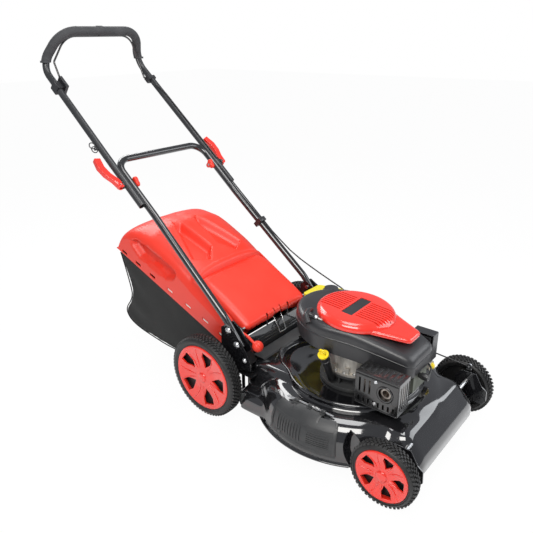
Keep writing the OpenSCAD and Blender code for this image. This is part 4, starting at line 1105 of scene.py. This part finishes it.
pocket = [(-196, 132), (-164, 66), (-209, 15), (-354, 32), (-374, 60)]
scoop = [(-462, 504), (-430, 514), (-353, 494), (-240, 450), (-216, 430), (-216, 414), (-234, 398),
        (-276, 392), (-414, 444), (-452, 480)]
seat_x, seat_y = -134.5, 169.5


lid_half = 195.5


def lid_height(x, y):
    """The lid's upper surface: crowned, with two hand pockets, and a seat that the flap rests in."""
    y = abs(y)
    low = lid_low(x)
    rise = read_off(lid_top, x) - read_off(shoulder, y) * (1 - 0.5 * eased_step((-390 - x) / 130)) - low
    if rise < 14:
        rise = 14 * math.exp((rise - 14) / 14)
    z = low + rise
    away = max(seat_x - x, y - seat_y)
    if away > 0:
        rim_crest = 6.5 * math.exp(-((away - 9) / 9) ** 2)
        z += rim_crest * eased_step((x + 190) / 40) * eased_step((190 - y) / 10)
        z -= 34 * eased_step(inside(pocket, x, y) / 19)
    else:
        z = min(z, 298 + (72 - x) * math.tan(slope) - 15)
    return z


slots = [(-498, 0), (-423, 0), (-345, 0), (-255, 1), (-164, 1), (-80, 1), (-3, 1)]


def slot_rise(x):
    """How far above the rim the middle of a side slot lies."""
    return 12 + 20 * (x + 498) / 495


stations = [-545.4, -545, -544, -542.5, -540] + [-536 + 3.9 * i for i in range(150)] + [47.4, 48]
for x, _ in slots:
    stations = [v for v in stations if abs(v - x - 14) > 2 and abs(v - x + 14) > 2] + [x - 14, x + 14]
stations = sorted([v for v in stations if abs(v - seat_x) > 3] + [seat_x - 0.6, seat_x + 0.6])
across = sorted({round(hand * y, 2) for hand in (-1, 1) for y in
                 [lid_half, 194.4, 192.4, 189.6, 186, 182, 177.6, 173.4, seat_y + 0.6,
                  seat_y - 0.6] + [165 - 3.75 * i for i in range(45)]})
points, faces = [], []
for x in stations:
    low, edge = lid_low(x), lid_height(x, lid_half)
    tall = edge - low
    ledge = [0, min(3, tall * 0.1), min(slot_rise(x) - 5.4, tall * 0.3),
            min(slot_rise(x) + 5.4, tall * 0.62)]
    ledge += [ledge[-1] + (tall - ledge[-1]) * k / 13 for k in range(1, 13)]
    wall = []
    for rise in ledge:
        dent = 30 * eased_step(inside(scoop, x, low + rise) / 17)
        wall.append((lid_half - dent - (0.5 if rise < 1 else 0), low + rise))
    row = [(-y, z) for y, z in wall]
    for y in across:
        z = lid_height(x, y)
        dent = 30 * eased_step(inside(scoop, x, z) / 17) if abs(y) > 172 else 0
        row.append((y - math.copysign(dent, y), z))
    row += wall[::-1]
    points += [at(x, y, z) for y, z in row]
n = len(row)
for i in range(len(stations) - 1):
    middle = (stations[i] + stations[i + 1]) / 2
    gap = any(abs(middle - x) < 14 for x, _ in slots)
    for k in range(n - 1):
        if not (gap and k in (2, n - 4)):
            faces.append((i * n + k, (i + 1) * n + k, (i + 1) * n + k + 1, i * n + k + 1))
lid = solid("lid", points, faces, "bag")
if max(lid.data.polygons, key=lambda f: f.center.z).normal.z < 0:
    lid.data.flip_normals()
settle(modify(lid, "wall", "SOLIDIFY", thickness=0.0034, offset=-1))
lid.data.set_sharp_from_angle(angle=math.radians(56))
paint(lid, red)
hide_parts("bag_lid")
pale = finish("pale_clip", (0.85, 0.84, 0.8), (0.6, 0.58, 0.54), 0.3, 0.6, 0.1, 700, 0.04)
for hand, word in hands:
    for i, (x, light) in enumerate(slots):
        clip = block("lid_clip_%s_%d" % (word, i), Vector((-0.017, -0.0012, -0.0075)),
                Vector((0.017, 0.0012, 0.0075)))
        clip.data.transform(Matrix.Translation(at(x, hand * (190 if light else 185),
                lid_low(x) + slot_rise(x)))
                            @ Matrix.Rotation(math.radians(22.6), 4, "Y"))
        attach(clip, "bag")
        paint(soften(clip, 0.4), pale if light else plastic)

# Woven bag: stiffened cloth, pinched above its rounded tail, with piping sewn along both sides.
cloth = finish("woven_cloth", (0.0055, 0.0058, 0.0052), (0.013, 0.0132, 0.012), 0.45, 0.82, 0.1, 1700,
        0.25, scale=5)
tree = cloth.node_tree
threads = add_node(tree, "Math", "ADD")
place = add_node(tree, "TexCoord")
for k, way_of in enumerate(("X", "Z")):
    wave = add_node(tree, "TexWave", values=[("Scale", 150), ("Distortion", 0.4)])
    wave.bands_direction = way_of
    link_up(tree, (place, "Object", wave, "Vector"), (wave, 1, threads, k))
link_up(tree, (threads, 0, tree.nodes["bump"], "Height"))
tree.nodes["bump"].inputs["Distance"].default_value = 0.0006
shader = tree.nodes["Principled BSDF"]
shader.inputs["Sheen Weight"].default_value = 0.04
shader.inputs["Sheen Roughness"].default_value = 0.5

sag = [(14, 212), (-60, 168), (-150, 118), (-276, 108), (-400, 122), (-470, 136), (-512, 154),
       (-533, 180), (-528, 206),
       (-505, 236), (-492, 262), (-491, 292), (-512, 370), (-536, 444)]
bag_line = curved(sag, 6)
bag_core = bag_line + [tuple(rim_back + rim_out * 8 + Vector((8, 0))),
        tuple(rim_front + rim_out * 8 + Vector((-6, 0)))]
bag = slab("cloth_bag", bag_core, -189, 189)
moulded(bag, 5.5, 5)
for v in bag.data.vertices:
    p = v.co
    share = max(0, min(1, -((p - rim_spot).dot(plane_out)) / 0.06))
    ripple = noise.noise(Vector((p.x * 7, p.y * 5, p.z * 7))) * 0.0042 + noise.noise(Vector((p.x * 19,
            p.y * 11, p.z * 15))) * 0.0016
    fold = 0.0022 * math.sin((p.x * 0.55 + p.z) * 52 + 3 * noise.noise(p * 6)) * max(0,
            1 - abs(p.x - at(-470, 0, 0).x) / 0.11)
    v.co = p + v.normal * ((ripple + fold) * share - 0.0012)
with editing(bag.data) as made:
    bmesh.ops.bisect_plane(made, geom=made.verts[:] + made.edges[:] + made.faces[:],
                           plane_co=rim_spot + plane_out * 0.004, plane_no=plane_out, clear_outer=True)
smooth_all(bag.data)
settle(modify(bag, "wall", "SOLIDIFY", thickness=0.0016, offset=-1))
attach(bag, "bag")
paint(bag, cloth)
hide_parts("bag_fabric")
hem = finish("bag_piping", (0.004, 0.004, 0.004), (0.01, 0.01, 0.01), 0.4, 0.95, 0.05, 1400, 0.1)
for hand, word in hands:
    run = [at(x, hand * 187.4, z) for x, z in bag_line[2:-1]]
    wire("bag_piping_" + word, run, 2.1, "bag", hem)
dress("bag_frame", tube_gloss)

low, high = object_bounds()
